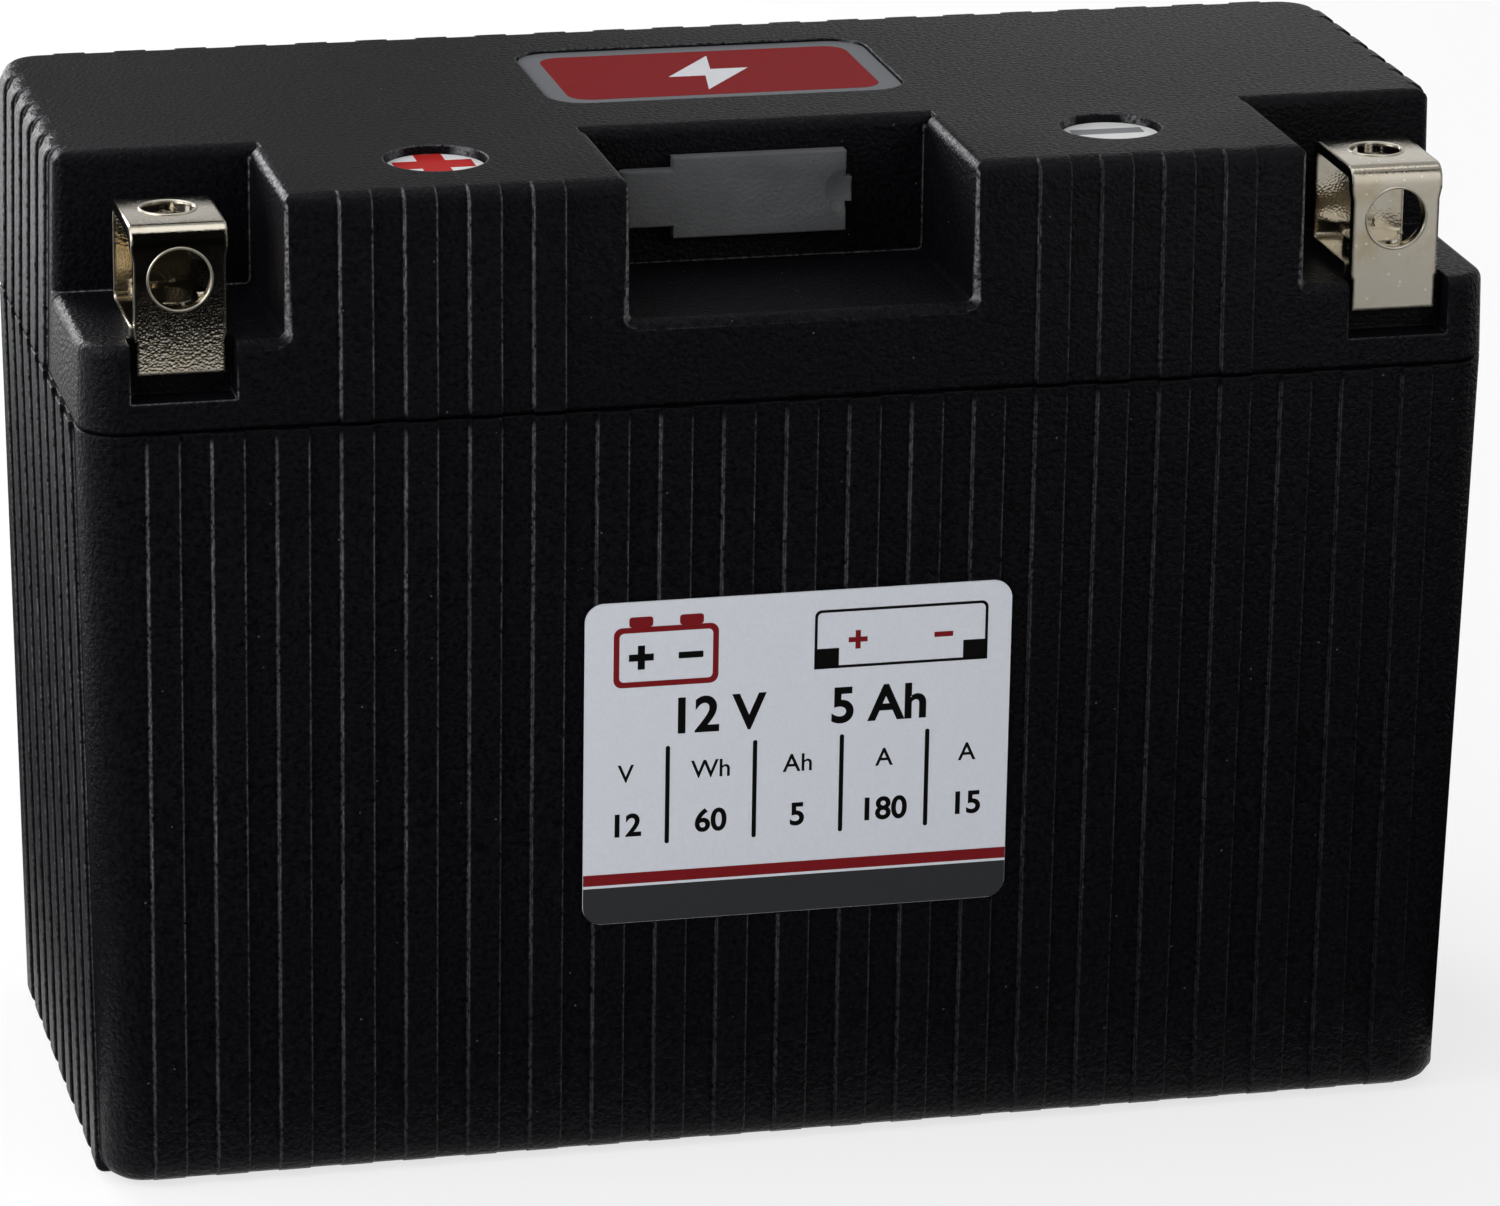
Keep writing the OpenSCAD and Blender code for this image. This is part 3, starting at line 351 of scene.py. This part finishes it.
# The product is rub on the worn edges and, with it, a painted highlight along them
worn_and_highlit = at_edge
for factor in (open_edge.outputs[0], patchy.outputs["Fac"], peak, clear_of_terminals.outputs[0], painted_light_from_left.outputs[0]):
    worn_and_highlit = add(tree, "Math", {"operation": "MULTIPLY"}, {0: worn_and_highlit, 1: factor}).outputs[0]
rub_and_highlight = add(tree, "Math", {"operation": "MULTIPLY", "use_clamp": True}, {0: worn_and_highlit, 1: painted_light_towards_top.outputs[0]})
print("seam at", round(seam_z / MM, 2), "mm")

# %% [markdown]
# Rubbed and highlighted rounds of the notches
# The mouths of the notches have large rounds, which are real geometry, so the rub above misses them.
# Their crests are painted pale here, both as rub and as a painted highlight along the rounds.
# On a round the normal turns from one wall to the next, so its sideways part tells where the crest is.
# The hollow corners inside a notch turn in the same way, and they aren't painted: only what lies near
# the top or the front, above the floors of the notches and clear of the ends, is taken.

# %% Rubbed and highlighted rounds of the notches
NOTCH_RUB_AND_HIGHLIGHT = 0.8
FLOOR_BELOW_TERMINAL = 12.2 * MM
FLOOR_FADE = 1 * MM
END_FROM, END_TO = 3.5 * MM, 5 * MM
TOP_FROM, TOP_TO = 1.6 * MM, 1.3 * MM
FRONT_FROM, FRONT_TO = 1.9 * MM, 1.6 * MM
floor_z = high.z - FLOOR_BELOW_TERMINAL
front_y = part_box("lid")[0].y
facing = add(tree, "SeparateXYZ", None, {0: add(tree, "NewGeometry").outputs["Normal"]})
turned = add(tree, "Math", {"operation": "ABSOLUTE"}, {0: facing.outputs["X"]}).outputs[0]
rise = add(tree, "MapRange", {1: 0.42, 2: 0.62}, {0: turned})
fall = add(tree, "MapRange", {1: 0.92, 2: 0.78}, {0: turned})
above = add(tree, "MapRange", {1: floor_z, 2: floor_z + FLOOR_FADE}, {0: spot["Z"]})
inner = add(tree, "MapRange", {1: end_x - END_FROM, 2: end_x - END_TO}, {0: across})
near_top = add(tree, "MapRange", {1: top_z - TOP_FROM, 2: top_z - TOP_TO}, {0: spot["Z"]})
near_front = add(tree, "MapRange", {1: front_y + FRONT_FROM, 2: front_y + FRONT_TO}, {0: spot["Y"]})
outer = add(tree, "Math", {"operation": "MAXIMUM"}, {0: near_top.outputs[0], 1: near_front.outputs[0]})
# Painted highlight and rub on the crests of the rounds
crest_rub_and_highlight = add(tree, "Math", {"operation": "MULTIPLY", 1: NOTCH_RUB_AND_HIGHLIGHT}, {0: peak}).outputs[0]
for factor in (rise, fall, above, inner, outer):
    crest_rub_and_highlight = add(tree, "Math", {"operation": "MULTIPLY"}, {0: crest_rub_and_highlight, 1: factor.outputs[0]}).outputs[0]
all_rub_and_highlight = add(tree, "Math", {"operation": "MAXIMUM"}, {0: rub_and_highlight.outputs[0], 1: crest_rub_and_highlight})
# The edges and the crests are mixed towards a pale grey: partly rub, partly a painted highlight
paled_and_highlit = add(tree, "Mix", {"data_type": "RGBA", "B": linear("#88888c")},
            {0: all_rub_and_highlight.outputs[0], "A": dusty.outputs["Result"]})
tree.links.new(paled_and_highlit.outputs["Result"], shader.inputs["Base Color"])
print("notch floor at", round(floor_z / MM, 2), "mm")

# %% [markdown]
# Nickel-plated brass
# Each terminal is a strip of brass, bent to a box and plated with nickel. The plating is bright but
# not a mirror: rolling marks and tiny pits blur it, a little of the yellow shows where it is thin, and
# dried drops of water leave pale spots. Three patterns at three sizes make that.

# %% Nickel-plated brass
# The real pits are under 0.1 mm, too fine to show, so they are drawn at 0.28 mm
PIT = 0.28
PIT_DEPTH = 0.015 * MM
THIN_PATCH = 4
DROP_SPACING = 1.1
NICKEL_ROUND = 0.45
nickel, tree, shader, place = finish("nickel-plated brass", Metallic=1.0)
thin = add(tree, "TexNoise", {"Scale": per_mm(THIN_PATCH), "Detail": 5.0, "Roughness": 0.6},
           {"Vector": place})
tint = add(tree, "MapRange", {1: 0.5, 2: 0.75}, {0: thin.outputs["Fac"]})
plate = add(tree, "Mix", {"data_type": "RGBA", "A": linear("#cdc6b7"), "B": linear("#bfb094")},
            {0: tint.outputs[0]})
drops = add(tree, "TexVoronoi", {"Scale": per_mm(DROP_SPACING)}, {"Vector": place})
dried = add(tree, "MapRange", {1: 0.16, 2: 0.08}, {0: drops.outputs["Distance"]})
spotted = add(tree, "Mix", {"data_type": "RGBA", "B": linear("#ece8dc")},
              {0: dried.outputs[0], "A": plate.outputs["Result"]})
tree.links.new(spotted.outputs["Result"], shader.inputs["Base Color"])
blur = add(tree, "MapRange", {3: 0.05, 4: 0.15}, {0: thin.outputs["Fac"]})
tree.links.new(blur.outputs[0], shader.inputs["Roughness"])
pits = add(tree, "TexVoronoi", {"Scale": per_mm(PIT)}, {"Vector": place})
round_normal = small_rounds(tree, NICKEL_ROUND)[0]
dents = add(tree, "Bump", {"Strength": 0.5, "Distance": PIT_DEPTH},
            {"Height": pits.outputs["Distance"], "Normal": round_normal})
tree.links.new(dents.outputs[0], shader.inputs["Normal"])
wear(["terminal_positive", "terminal_negative", "terminal_rivets"], nickel)
print("finish", nickel.name)

# %% [markdown]
# Rims of the bolt holes
# A punch leaves a thin raised rim round each bolt hole, and bolts rub it to satin, so it catches light
# that the flat plate throws elsewhere. Each rim is a slim ring, swept by two angles: one round the
# hole and one round the ring's own section. The holes' places and radii come from the frame.

# %% Rims of the bolt holes
RIM_T = 0.14
RIM_SCRATCH = 0.6
# Nickel rubbed by bolts: an even, soft shine
rim_metal, tree, shader, place = finish("satin nickel rim", Metallic=1.0)
shader.inputs["Base Color"].default_value = linear("#dcd6c8")
rubbed = add(tree, "TexNoise", {"Scale": per_mm(RIM_SCRATCH), "Detail": 3.0}, {"Vector": place})
satin = add(tree, "MapRange", {3: 0.28, 4: 0.46}, {0: rubbed.outputs["Fac"]})
tree.links.new(satin.outputs[0], shader.inputs["Roughness"])


def rim(name, centre, axis, hole_r):
    turn = Vector(axis).to_track_quat("Z", "Y").to_matrix().to_4x4()
    around, section = 72, 10
    points = []
    faces = []
    for i in range(around):
        a = 2 * math.pi * i / around
        for j in range(section):
            b = 2 * math.pi * j / section
            r = hole_r + RIM_T * (1 + math.cos(b))
            points.append((r * math.cos(a), r * math.sin(a), RIM_T * math.sin(b)))
            far, side = (i + 1) % around, (j + 1) % section
            faces.append((i * section + j, far * section + j, far * section + side, i * section + side))
    mesh = bpy.data.meshes.new(name)
    mesh.from_pydata(points, [], faces)
    mesh.transform(Matrix.Translation(centre) @ turn @ Matrix.Scale(MM, 4))
    mesh.polygons.foreach_set("use_smooth", [True] * len(faces))
    mesh.materials.append(rim_metal)
    piece = bpy.data.objects.new(name, mesh)
    scene.collection.objects.link(piece)
    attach(piece, "battery")


bores = [mount for mount in frame["record"]["mounts"] if mount["kind"] == "bore"]
for mount in bores:
    low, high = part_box("terminal_" + mount["name"].split("_")[0])
    x, y, z = mount["pos_m"]
    centre = (x, low.y, z) if abs(mount["axis"][1]) > 0.5 else (x, y, high.z)
    rim(mount["name"] + "_rim", centre, mount["axis"], mount["dims"]["r_mm"])
print("rims", len(bores))

# %% [markdown]
# Grey elastomer
# The port cover is a flexible grey plastic, moulded in one piece with its strap. It is matt, with a
# slight cloudiness, and it lies in the shade of the notch. One noise gives the clouds and the
# roughness, and a finer one the texture of the mould.

# %% Grey elastomer
# The real mould texture is about 0.1 mm wide, too fine to show, so it is drawn at 0.4 mm
COVER_GRAIN = 0.4
COVER_DEPTH = 0.1 * MM
COVER_CLOUD = 5
COVER_ROUND = 0.25
elastomer, tree, shader, place = finish("grey thermoplastic elastomer", IOR=1.5, Specular_IOR_Level=0.3)
clouds = add(tree, "TexNoise", {"Scale": per_mm(COVER_CLOUD), "Detail": 4.0}, {"Vector": place})
shade = add(tree, "Mix", {"data_type": "RGBA", "A": linear("#4f5052"), "B": linear("#68696b")},
            {0: clouds.outputs["Fac"]})
tree.links.new(shade.outputs["Result"], shader.inputs["Base Color"])
soft = add(tree, "MapRange", {3: 0.5, 4: 0.62}, {0: clouds.outputs["Fac"]})
tree.links.new(soft.outputs[0], shader.inputs["Roughness"])
texture = add(tree, "TexNoise", {"Scale": per_mm(COVER_GRAIN), "Detail": 2.0}, {"Vector": place})
round_normal = small_rounds(tree, COVER_ROUND)[0]
relief = add(tree, "Bump", {"Strength": 0.8, "Distance": COVER_DEPTH},
             {"Height": texture.outputs["Fac"], "Normal": round_normal})
tree.links.new(relief.outputs[0], shader.inputs["Normal"])
wear(["port_cover", "port_cover_anchor"], elastomer)
print("finish", elastomer.name)

# %% [markdown]
# Printing inks
# The label, the badge and the two polarity marks are printed films. A print could be a texture, but
# ink drawn as thin flat pieces stays sharp at any distance. `ink` makes one printing ink: an even
# colour with the slight mottle that a roller leaves, matt enough to read at any angle.

# %% Inks
INK_MOTTLE = 1.2
INK_DEEPER = 0.88
INK_ROUGH_SPREAD = 0.06


def ink(name, code, rough=0.45, shine=0.12):
    material, tree, shader, place = finish(name, IOR=1.5, Specular_IOR_Level=shine)
    mottle = add(tree, "TexNoise", {"Scale": per_mm(INK_MOTTLE), "Detail": 4.0}, {"Vector": place})
    deep = [v * INK_DEEPER for v in linear(code)[:3]] + [1.0]
    tone = add(tree, "Mix", {"data_type": "RGBA", "A": deep, "B": linear(code)}, {0: mottle.outputs["Fac"]})
    tree.links.new(tone.outputs["Result"], shader.inputs["Base Color"])
    matt = add(tree, "MapRange", {3: rough - INK_ROUGH_SPREAD, 4: rough + INK_ROUGH_SPREAD},
               {0: mottle.outputs["Fac"]})
    tree.links.new(matt.outputs[0], shader.inputs["Roughness"])
    return material


black_ink = ink("black label ink", "#0c0c0d")
red_ink = ink("dark red label ink", "#7d1219")
grey_ink = ink("dark grey label ink", "#343537")
white_ink = ink("white label ink", "#d6d8dc")
print("inks", black_ink.name, red_ink.name, grey_ink.name, white_ink.name)

# %% [markdown]
# Printed pieces
# A flat curve that is filled and given a thickness makes a clean piece of ink, and one outline inside
# another leaves a hole. `laid` turns such a curve into a mesh and lays it on its film, `printed` does
# so for outlines, and `lettered` for words in Blender's own font.

# %% Printed pieces
INK_T = 0.03
# Blender sizes a font by its line, which is this many times the height of a capital
LINE_PER_CAPITAL = 1.37


def laid(name, curve, at, material):
    maker = bpy.data.objects.new(name, curve)
    scene.collection.objects.link(maker)
    scene.view_layers[0].update()
    ready = maker.evaluated_get(bpy.context.evaluated_depsgraph_get())
    mesh = bpy.data.meshes.new_from_object(ready)
    bpy.data.objects.remove(maker)
    mesh.transform(at)
    mesh.materials.clear()
    mesh.materials.append(material)
    piece = bpy.data.objects.new(name, mesh)
    scene.collection.objects.link(piece)
    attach(piece, "battery")


def printed(name, outlines, at, material):
    curve = bpy.data.curves.new(name, "CURVE")
    curve.dimensions = "2D"
    curve.fill_mode = "BOTH"
    curve.extrude = INK_T / 2
    for outline in outlines:
        spline = curve.splines.new("POLY")
        spline.points.add(len(outline) - 1)
        for point, (x, y) in zip(spline.points, outline):
            point.co = (x, y, 0, 1)
        spline.use_cyclic_u = True
    laid(name, curve, at, material)


def lettered(name, words, at, material, weight):
    for i, (text, x, y, height) in enumerate(words):
        curve = bpy.data.curves.new(name, "FONT")
        curve.body = text
        curve.size = height * LINE_PER_CAPITAL
        curve.align_x = "CENTER"
        curve.offset = weight * height
        curve.extrude = INK_T / 2
        laid(f"{name}_{i + 1}", curve, at @ Matrix.Translation((x, y, 0)), material)


print("ink", INK_T, "mm thick")

# %% [markdown]
# Outlines
# The signs on the films are a few simple outlines in millimetres: a box with round corners, a line
# drawn round such a box, a plain box, a plus and a minus.

# %% Outlines
def round_box(x0, y0, x1, y1, r, steps=6):
    middles = ((x1 - r, y1 - r), (x0 + r, y1 - r), (x0 + r, y0 + r), (x1 - r, y0 + r))
    points = []
    for quarter, (cx, cy) in enumerate(middles):
        for i in range(steps + 1):
            a = math.radians(90 * quarter + 90 * i / steps)
            points.append((cx + r * math.cos(a), cy + r * math.sin(a)))
    return points


def line_round(x0, y0, x1, y1, thick, r, inner_r):
    outside = round_box(x0, y0, x1, y1, r)
    return [outside, round_box(x0 + thick, y0 + thick, x1 - thick, y1 - thick, inner_r)]


def plain_box(x0, y0, x1, y1):
    return [(x0, y0), (x1, y0), (x1, y1), (x0, y1)]


def cross(x, y, size, arm):
    h, a = size / 2, arm / 2
    quarter = [(h, a), (a, a), (a, h)]
    points = []
    for _ in range(4):
        points += quarter
        quarter = [(-qy, qx) for qx, qy in quarter]
    return [(x + px, y + py) for px, py in points]


def dash(x, y, length, thick, r):
    return round_box(x - length / 2, y - thick / 2, x + length / 2, y + thick / 2, r, 2)


print("a plus has", len(cross(0, 0, 3, 1)), "corners")

# %% [markdown]
# Front label
# The label is a silver-white polyester film with rounded corners, stuck on the ribs, which lean with
# the case. A matrix puts its flat drawing on the leaning face. It shows plain ratings in a ruled
# table, a battery sign and a polarity sketch, over a red line and a dark foot.

# %% Label film
# Metallised polyester: a cool satin white. Its flakes are too fine to show, so they are drawn at 0.35 mm
FLAKE = 0.35
film, tree, shader, place = finish("silver polyester film", IOR=1.6, Specular_IOR_Level=0.4)
flakes = add(tree, "TexNoise", {"Scale": per_mm(FLAKE), "Detail": 3.0}, {"Vector": place})
silver = add(tree, "Mix", {"data_type": "RGBA", "A": linear("#d2d6df"), "B": linear("#dfe2ea")},
             {0: flakes.outputs["Fac"]})
tree.links.new(silver.outputs["Result"], shader.inputs["Base Color"])
satin = add(tree, "MapRange", {3: 0.34, 4: 0.46}, {0: flakes.outputs["Fac"]})
tree.links.new(satin.outputs[0], shader.inputs["Roughness"])
wear(["front_label"], film)

low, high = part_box("front_label")
lean = math.radians(1)
middle = (low + high) / 2
face = Vector((middle.x, low.y + (high.z - low.z) / 2 * math.tan(lean), middle.z))
on_label = Matrix.Translation(face) @ Matrix.Rotation(lean + math.pi / 2, 4, "X") @ Matrix.Scale(MM, 4)
label_w = (high.x - low.x) / MM
label_h = (high.z - low.z) / MM
print("label", round(label_w, 2), "x", round(label_h, 2), "mm")

# %% Label foot and stripe
EDGE = 0.02
FOOT_H = 4.0
FOOT_R = 1.9
STRIPE_FROM, STRIPE_TO = 4.3, 5.5
x0, x1, y0 = EDGE - label_w / 2, label_w / 2 - EDGE, -label_h / 2
foot_y = y0 + FOOT_H
foot = round_box(x0, y0 + EDGE, x1, y0 + 2 * FOOT_H, FOOT_R)
foot = [p for p in foot if p[1] < foot_y] + [(x1, foot_y), (x0, foot_y)]
foot.sort(key=lambda p: math.atan2(p[1] - y0 - FOOT_H / 2, p[0]))
printed("label_foot", [foot], on_label, grey_ink)
stripe = plain_box(x0, y0 + STRIPE_FROM, x1, y0 + STRIPE_TO)
printed("label_stripe", [stripe], on_label, red_ink)
print("foot", FOOT_H, "mm high")

# %% Label table
BOLD, REGULAR = 0.035, 0.012
RULE_W = 0.46
RULE_FROM, RULE_TO = -9.0, 1.7
FIGURE_Y, FIGURE_H = -7.9, 2.5
UNIT_Y, UNIT_H = -2.0, 2.0
HEADLINE_X, HEADLINE_Y, HEADLINE_H = 8.6, 3.1, 3.9
rule_places = (-13.7, -4.5, 4.7, 13.8)
rules = [round_box(x - RULE_W / 2, RULE_FROM, x + RULE_W / 2, RULE_TO, 0.2, 3) for x in rule_places]
printed("label_rules", rules, on_label, black_ink)
columns = (-18.1, -9.1, 0.1, 9.25, 18.1)
figures = ("12", "60", "5", "180", "15")
units = ("V", "Wh", "Ah", "A", "A")
figure_words = [(text, x, FIGURE_Y, FIGURE_H) for text, x in zip(figures, columns)]
lettered("label_figures", figure_words, on_label, black_ink, BOLD)
unit_words = [(text, x, UNIT_Y, UNIT_H) for text, x in zip(units, columns)]
lettered("label_units", unit_words, on_label, black_ink, REGULAR)
headline = [("12 V", -HEADLINE_X, HEADLINE_Y, HEADLINE_H), ("5 Ah", HEADLINE_X, HEADLINE_Y, HEADLINE_H)]
lettered("label_headline", headline, on_label, black_ink, BOLD)
print("label columns", len(columns))

# %% Label signs
sign_left, sign_right, sign_foot, sign_top = -19.5, -8.5, 8.3, 14.8
POST_W, POST_H, POST_INSET = 2.5, 1.1, 1.6
body = line_round(sign_left, sign_foot, sign_right, sign_top, thick=0.6, r=0.9, inner_r=0.5)
post_places = (sign_left + POST_INSET, sign_right - POST_INSET - POST_W)
posts = [round_box(x, sign_top, x + POST_W, sign_top + POST_H, 0.3, 3) for x in post_places]
printed("label_battery_sign", body + posts, on_label, red_ink)
poles = [cross(-16.6, 11.5, size=2.6, arm=0.75), dash(-11.4, 11.5, length=2.6, thick=0.7, r=0.1)]
printed("label_battery_poles", poles, on_label, black_ink)

plan_left, plan_right, plan_foot, plan_top = 1.6, 20.0, 9.0, 15.4
CORNER_W, CORNER_H = 2.6, 2.2
plan = line_round(plan_left, plan_foot, plan_right, plan_top, thick=0.3, r=0.7, inner_r=0.5)
corner_places = (plan_left, plan_right - CORNER_W)
corners = [plain_box(x, plan_foot, x + CORNER_W, plan_foot + CORNER_H) for x in corner_places]
printed("label_plan", plan, on_label, black_ink)
printed("label_plan_terminals", corners, on_label, black_ink)
plan_poles = [cross(6.2, 12.0, size=2.0, arm=0.55), dash(15.3, 12.0, length=2.0, thick=0.56, r=0.08)]
printed("label_plan_poles", plan_poles, on_label, red_ink)
print("label signs done")

# %% [markdown]
# Polarity marks
# In each pillar of the lid a round recess holds a white vinyl disc, with a red plus at the left and a
# grey minus at the right. Both signs sit a little behind the middle, where they show over the front of
# the recess. They are printed on the disc in the same way as the label.

# %% Polarity marks
# Calendered vinyl: a soft white that is a little uneven with age
AGE_PATCH = 2.5
disc, tree, shader, place = finish("white vinyl disc", IOR=1.53, Specular_IOR_Level=0.35)
age = add(tree, "TexNoise", {"Scale": per_mm(AGE_PATCH), "Detail": 4.0}, {"Vector": place})
white = add(tree, "Mix", {"data_type": "RGBA", "A": linear("#dcdddd"), "B": linear("#e8e9e9")},
            {0: age.outputs["Fac"]})
tree.links.new(white.outputs["Result"], shader.inputs["Base Color"])
sheen = add(tree, "MapRange", {3: 0.35, 4: 0.5}, {0: age.outputs["Fac"]})
tree.links.new(sheen.outputs[0], shader.inputs["Roughness"])
wear(["polarity_mark_positive", "polarity_mark_negative"], disc)
plus_ink = ink("red polarity ink", "#b82a28", 0.45, 0.05)
minus_ink = ink("grey polarity ink", "#85878a")


def on_top(name):
    low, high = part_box(name)
    middle = (low + high) / 2
    return Matrix.Translation((middle.x, middle.y, high.z)) @ Matrix.Scale(MM, 4)


plus = cross(0, 0.9, size=8.2, arm=2.9)
minus = dash(0, 1.4, length=7.6, thick=2.0, r=0.15)
printed("plus_sign", [plus], on_top("polarity_mark_positive"), plus_ink)
printed("minus_sign", [minus], on_top("polarity_mark_negative"), minus_ink)
print("polarity signs done")

# %% [markdown]
# Badge
# The badge in the top is a plain rounded film: a grey border round a red field, with a generic bolt.
# The field is matt, so that the sheen of the top doesn't wash out its red. The bolt lies half an ink
# thickness higher, so that the two inks don't share a face.

# %% Badge
BORDER = 2.2
FIELD_R = 2.4
badge_film = ink("grey badge film", "#6a6c70", 0.45)
wear(["top_badge"], badge_film)
badge_red = ink("red badge ink", "#801418", 0.5, 0.04)
at_badge = on_top("top_badge")
low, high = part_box("top_badge")
field_x = (high.x - low.x) / MM / 2 - BORDER
field_y = (high.y - low.y) / MM / 2 - BORDER
field = round_box(-field_x, -field_y, field_x, field_y, FIELD_R)
printed("badge_field", [field], at_badge, badge_red)
bolt = [(1.4, 7.2), (-4.6, -1.2), (-0.6, -1.2), (-1.6, -7.2), (4.6, 1.4), (0.5, 1.4)]
at_bolt = at_badge @ Matrix.Translation((0, 0, INK_T / 2))
printed("badge_bolt", [bolt], at_bolt, white_ink)
print("badge field", round(2 * field_x, 1), "x", round(2 * field_y, 1), "mm")

# %% [markdown]
# Parts inside
# The cells, the board and the bars are hidden by the case, but they are real parts, so each has the
# finish of its material. They share one recipe: a colour that varies with a noise, and a roughness
# that follows it. Each row gives the parts, the darker and the paler colour, the roughness, whether it
# is a metal, and the size of the pattern in millimetres. A pattern that is finer on the real part is
# drawn at half a millimetre or more, so that it would show.

# %% Parts inside
ROUGH_SPREAD = 0.08
inside = {
    # Moulded nitrile: dull black
    "matt nitrile rubber": (["terminal_seals"], "#161616", "#1f1f1f", 0.7, 0.0, 0.6),
    # Moulded nylon: milky, with a soft shine
    "natural nylon 66": (["port_socket"], "#d9d5c6", "#e6e2d6", 0.45, 0.0, 2.0),
    # Flash-plated pins: warm and bright
    "gold-flashed brass pins": (["port_pins"], "#d9b15c", "#e3c27a", 0.25, 1.0, 0.5),
    # Extruded ribbon: plain grey with a faint sheen
    "grey PVC ribbon": (["port_ribbon"], "#85888d", "#94979c", 0.5, 0.0, 1.0),
    # Foil laminated with nylon: silvery, slightly wrinkled
    "laminated pouch foil": (["cell_1", "cell_2", "cell_3", "cell_4"], "#b4b8bd", "#c8cbcf", 0.35, 1.0, 3.0),
    # Pressed fibre: a dry cream
    "insulating pressboard": (
        ["separator_1", "separator_2", "separator_3"], "#dcd6c6", "#ebe6d9", 0.85, 0.0, 0.8),
    # Rolled strip: bright, with a fine blur
    "rolled aluminium tabs": (["positive_tabs"], "#c9cbcd", "#dadbdc", 0.3, 1.0, 0.6),
    # Plated strip: warmer than aluminium
    "nickel-plated copper tabs": (["negative_tabs"], "#b5ae9f", "#c8c1b0", 0.3, 1.0, 0.6),
    # Rolled and cut bars: bare, reddish metal
    "rolled copper bars": (
        ["series_links", "positive_busbar", "negative_busbar"], "#c07850", "#d08e64", 0.3, 1.0, 0.8),
    # Pressed laminate under solder mask: glossy green
    "green glass-epoxy board": (["tab_board"], "#14502f", "#1c6039", 0.4, 0.0, 0.7),
    # Zinc plating: a cool, slightly cloudy grey
    "zinc-plated steel screws": (["board_screws"], "#a8abb0", "#bfc2c6", 0.3, 1.0, 0.5),
    # Cut foam: dark and matt
    "closed-cell foam": (["foam_base", "foam_left", "foam_right"], "#2a2c30", "#3a3d42", 0.9, 0.0, 0.9),
}
for name, (parts, dark, pale, rough, metal, size) in inside.items():
    material, tree, shader, place = finish(name, Metallic=metal)
    fine = add(tree, "TexNoise", {"Scale": per_mm(size), "Detail": 4.0}, {"Vector": place})
    tone = add(tree, "Mix", {"data_type": "RGBA", "A": linear(dark), "B": linear(pale)},
               {0: fine.outputs["Fac"]})
    tree.links.new(tone.outputs["Result"], shader.inputs["Base Color"])
    spread = add(tree, "MapRange", {3: rough - ROUGH_SPREAD, 4: rough + ROUGH_SPREAD},
                 {0: fine.outputs["Fac"]})
    tree.links.new(spread.outputs[0], shader.inputs["Roughness"])
    wear(parts, material)
print("inside finishes", len(inside))
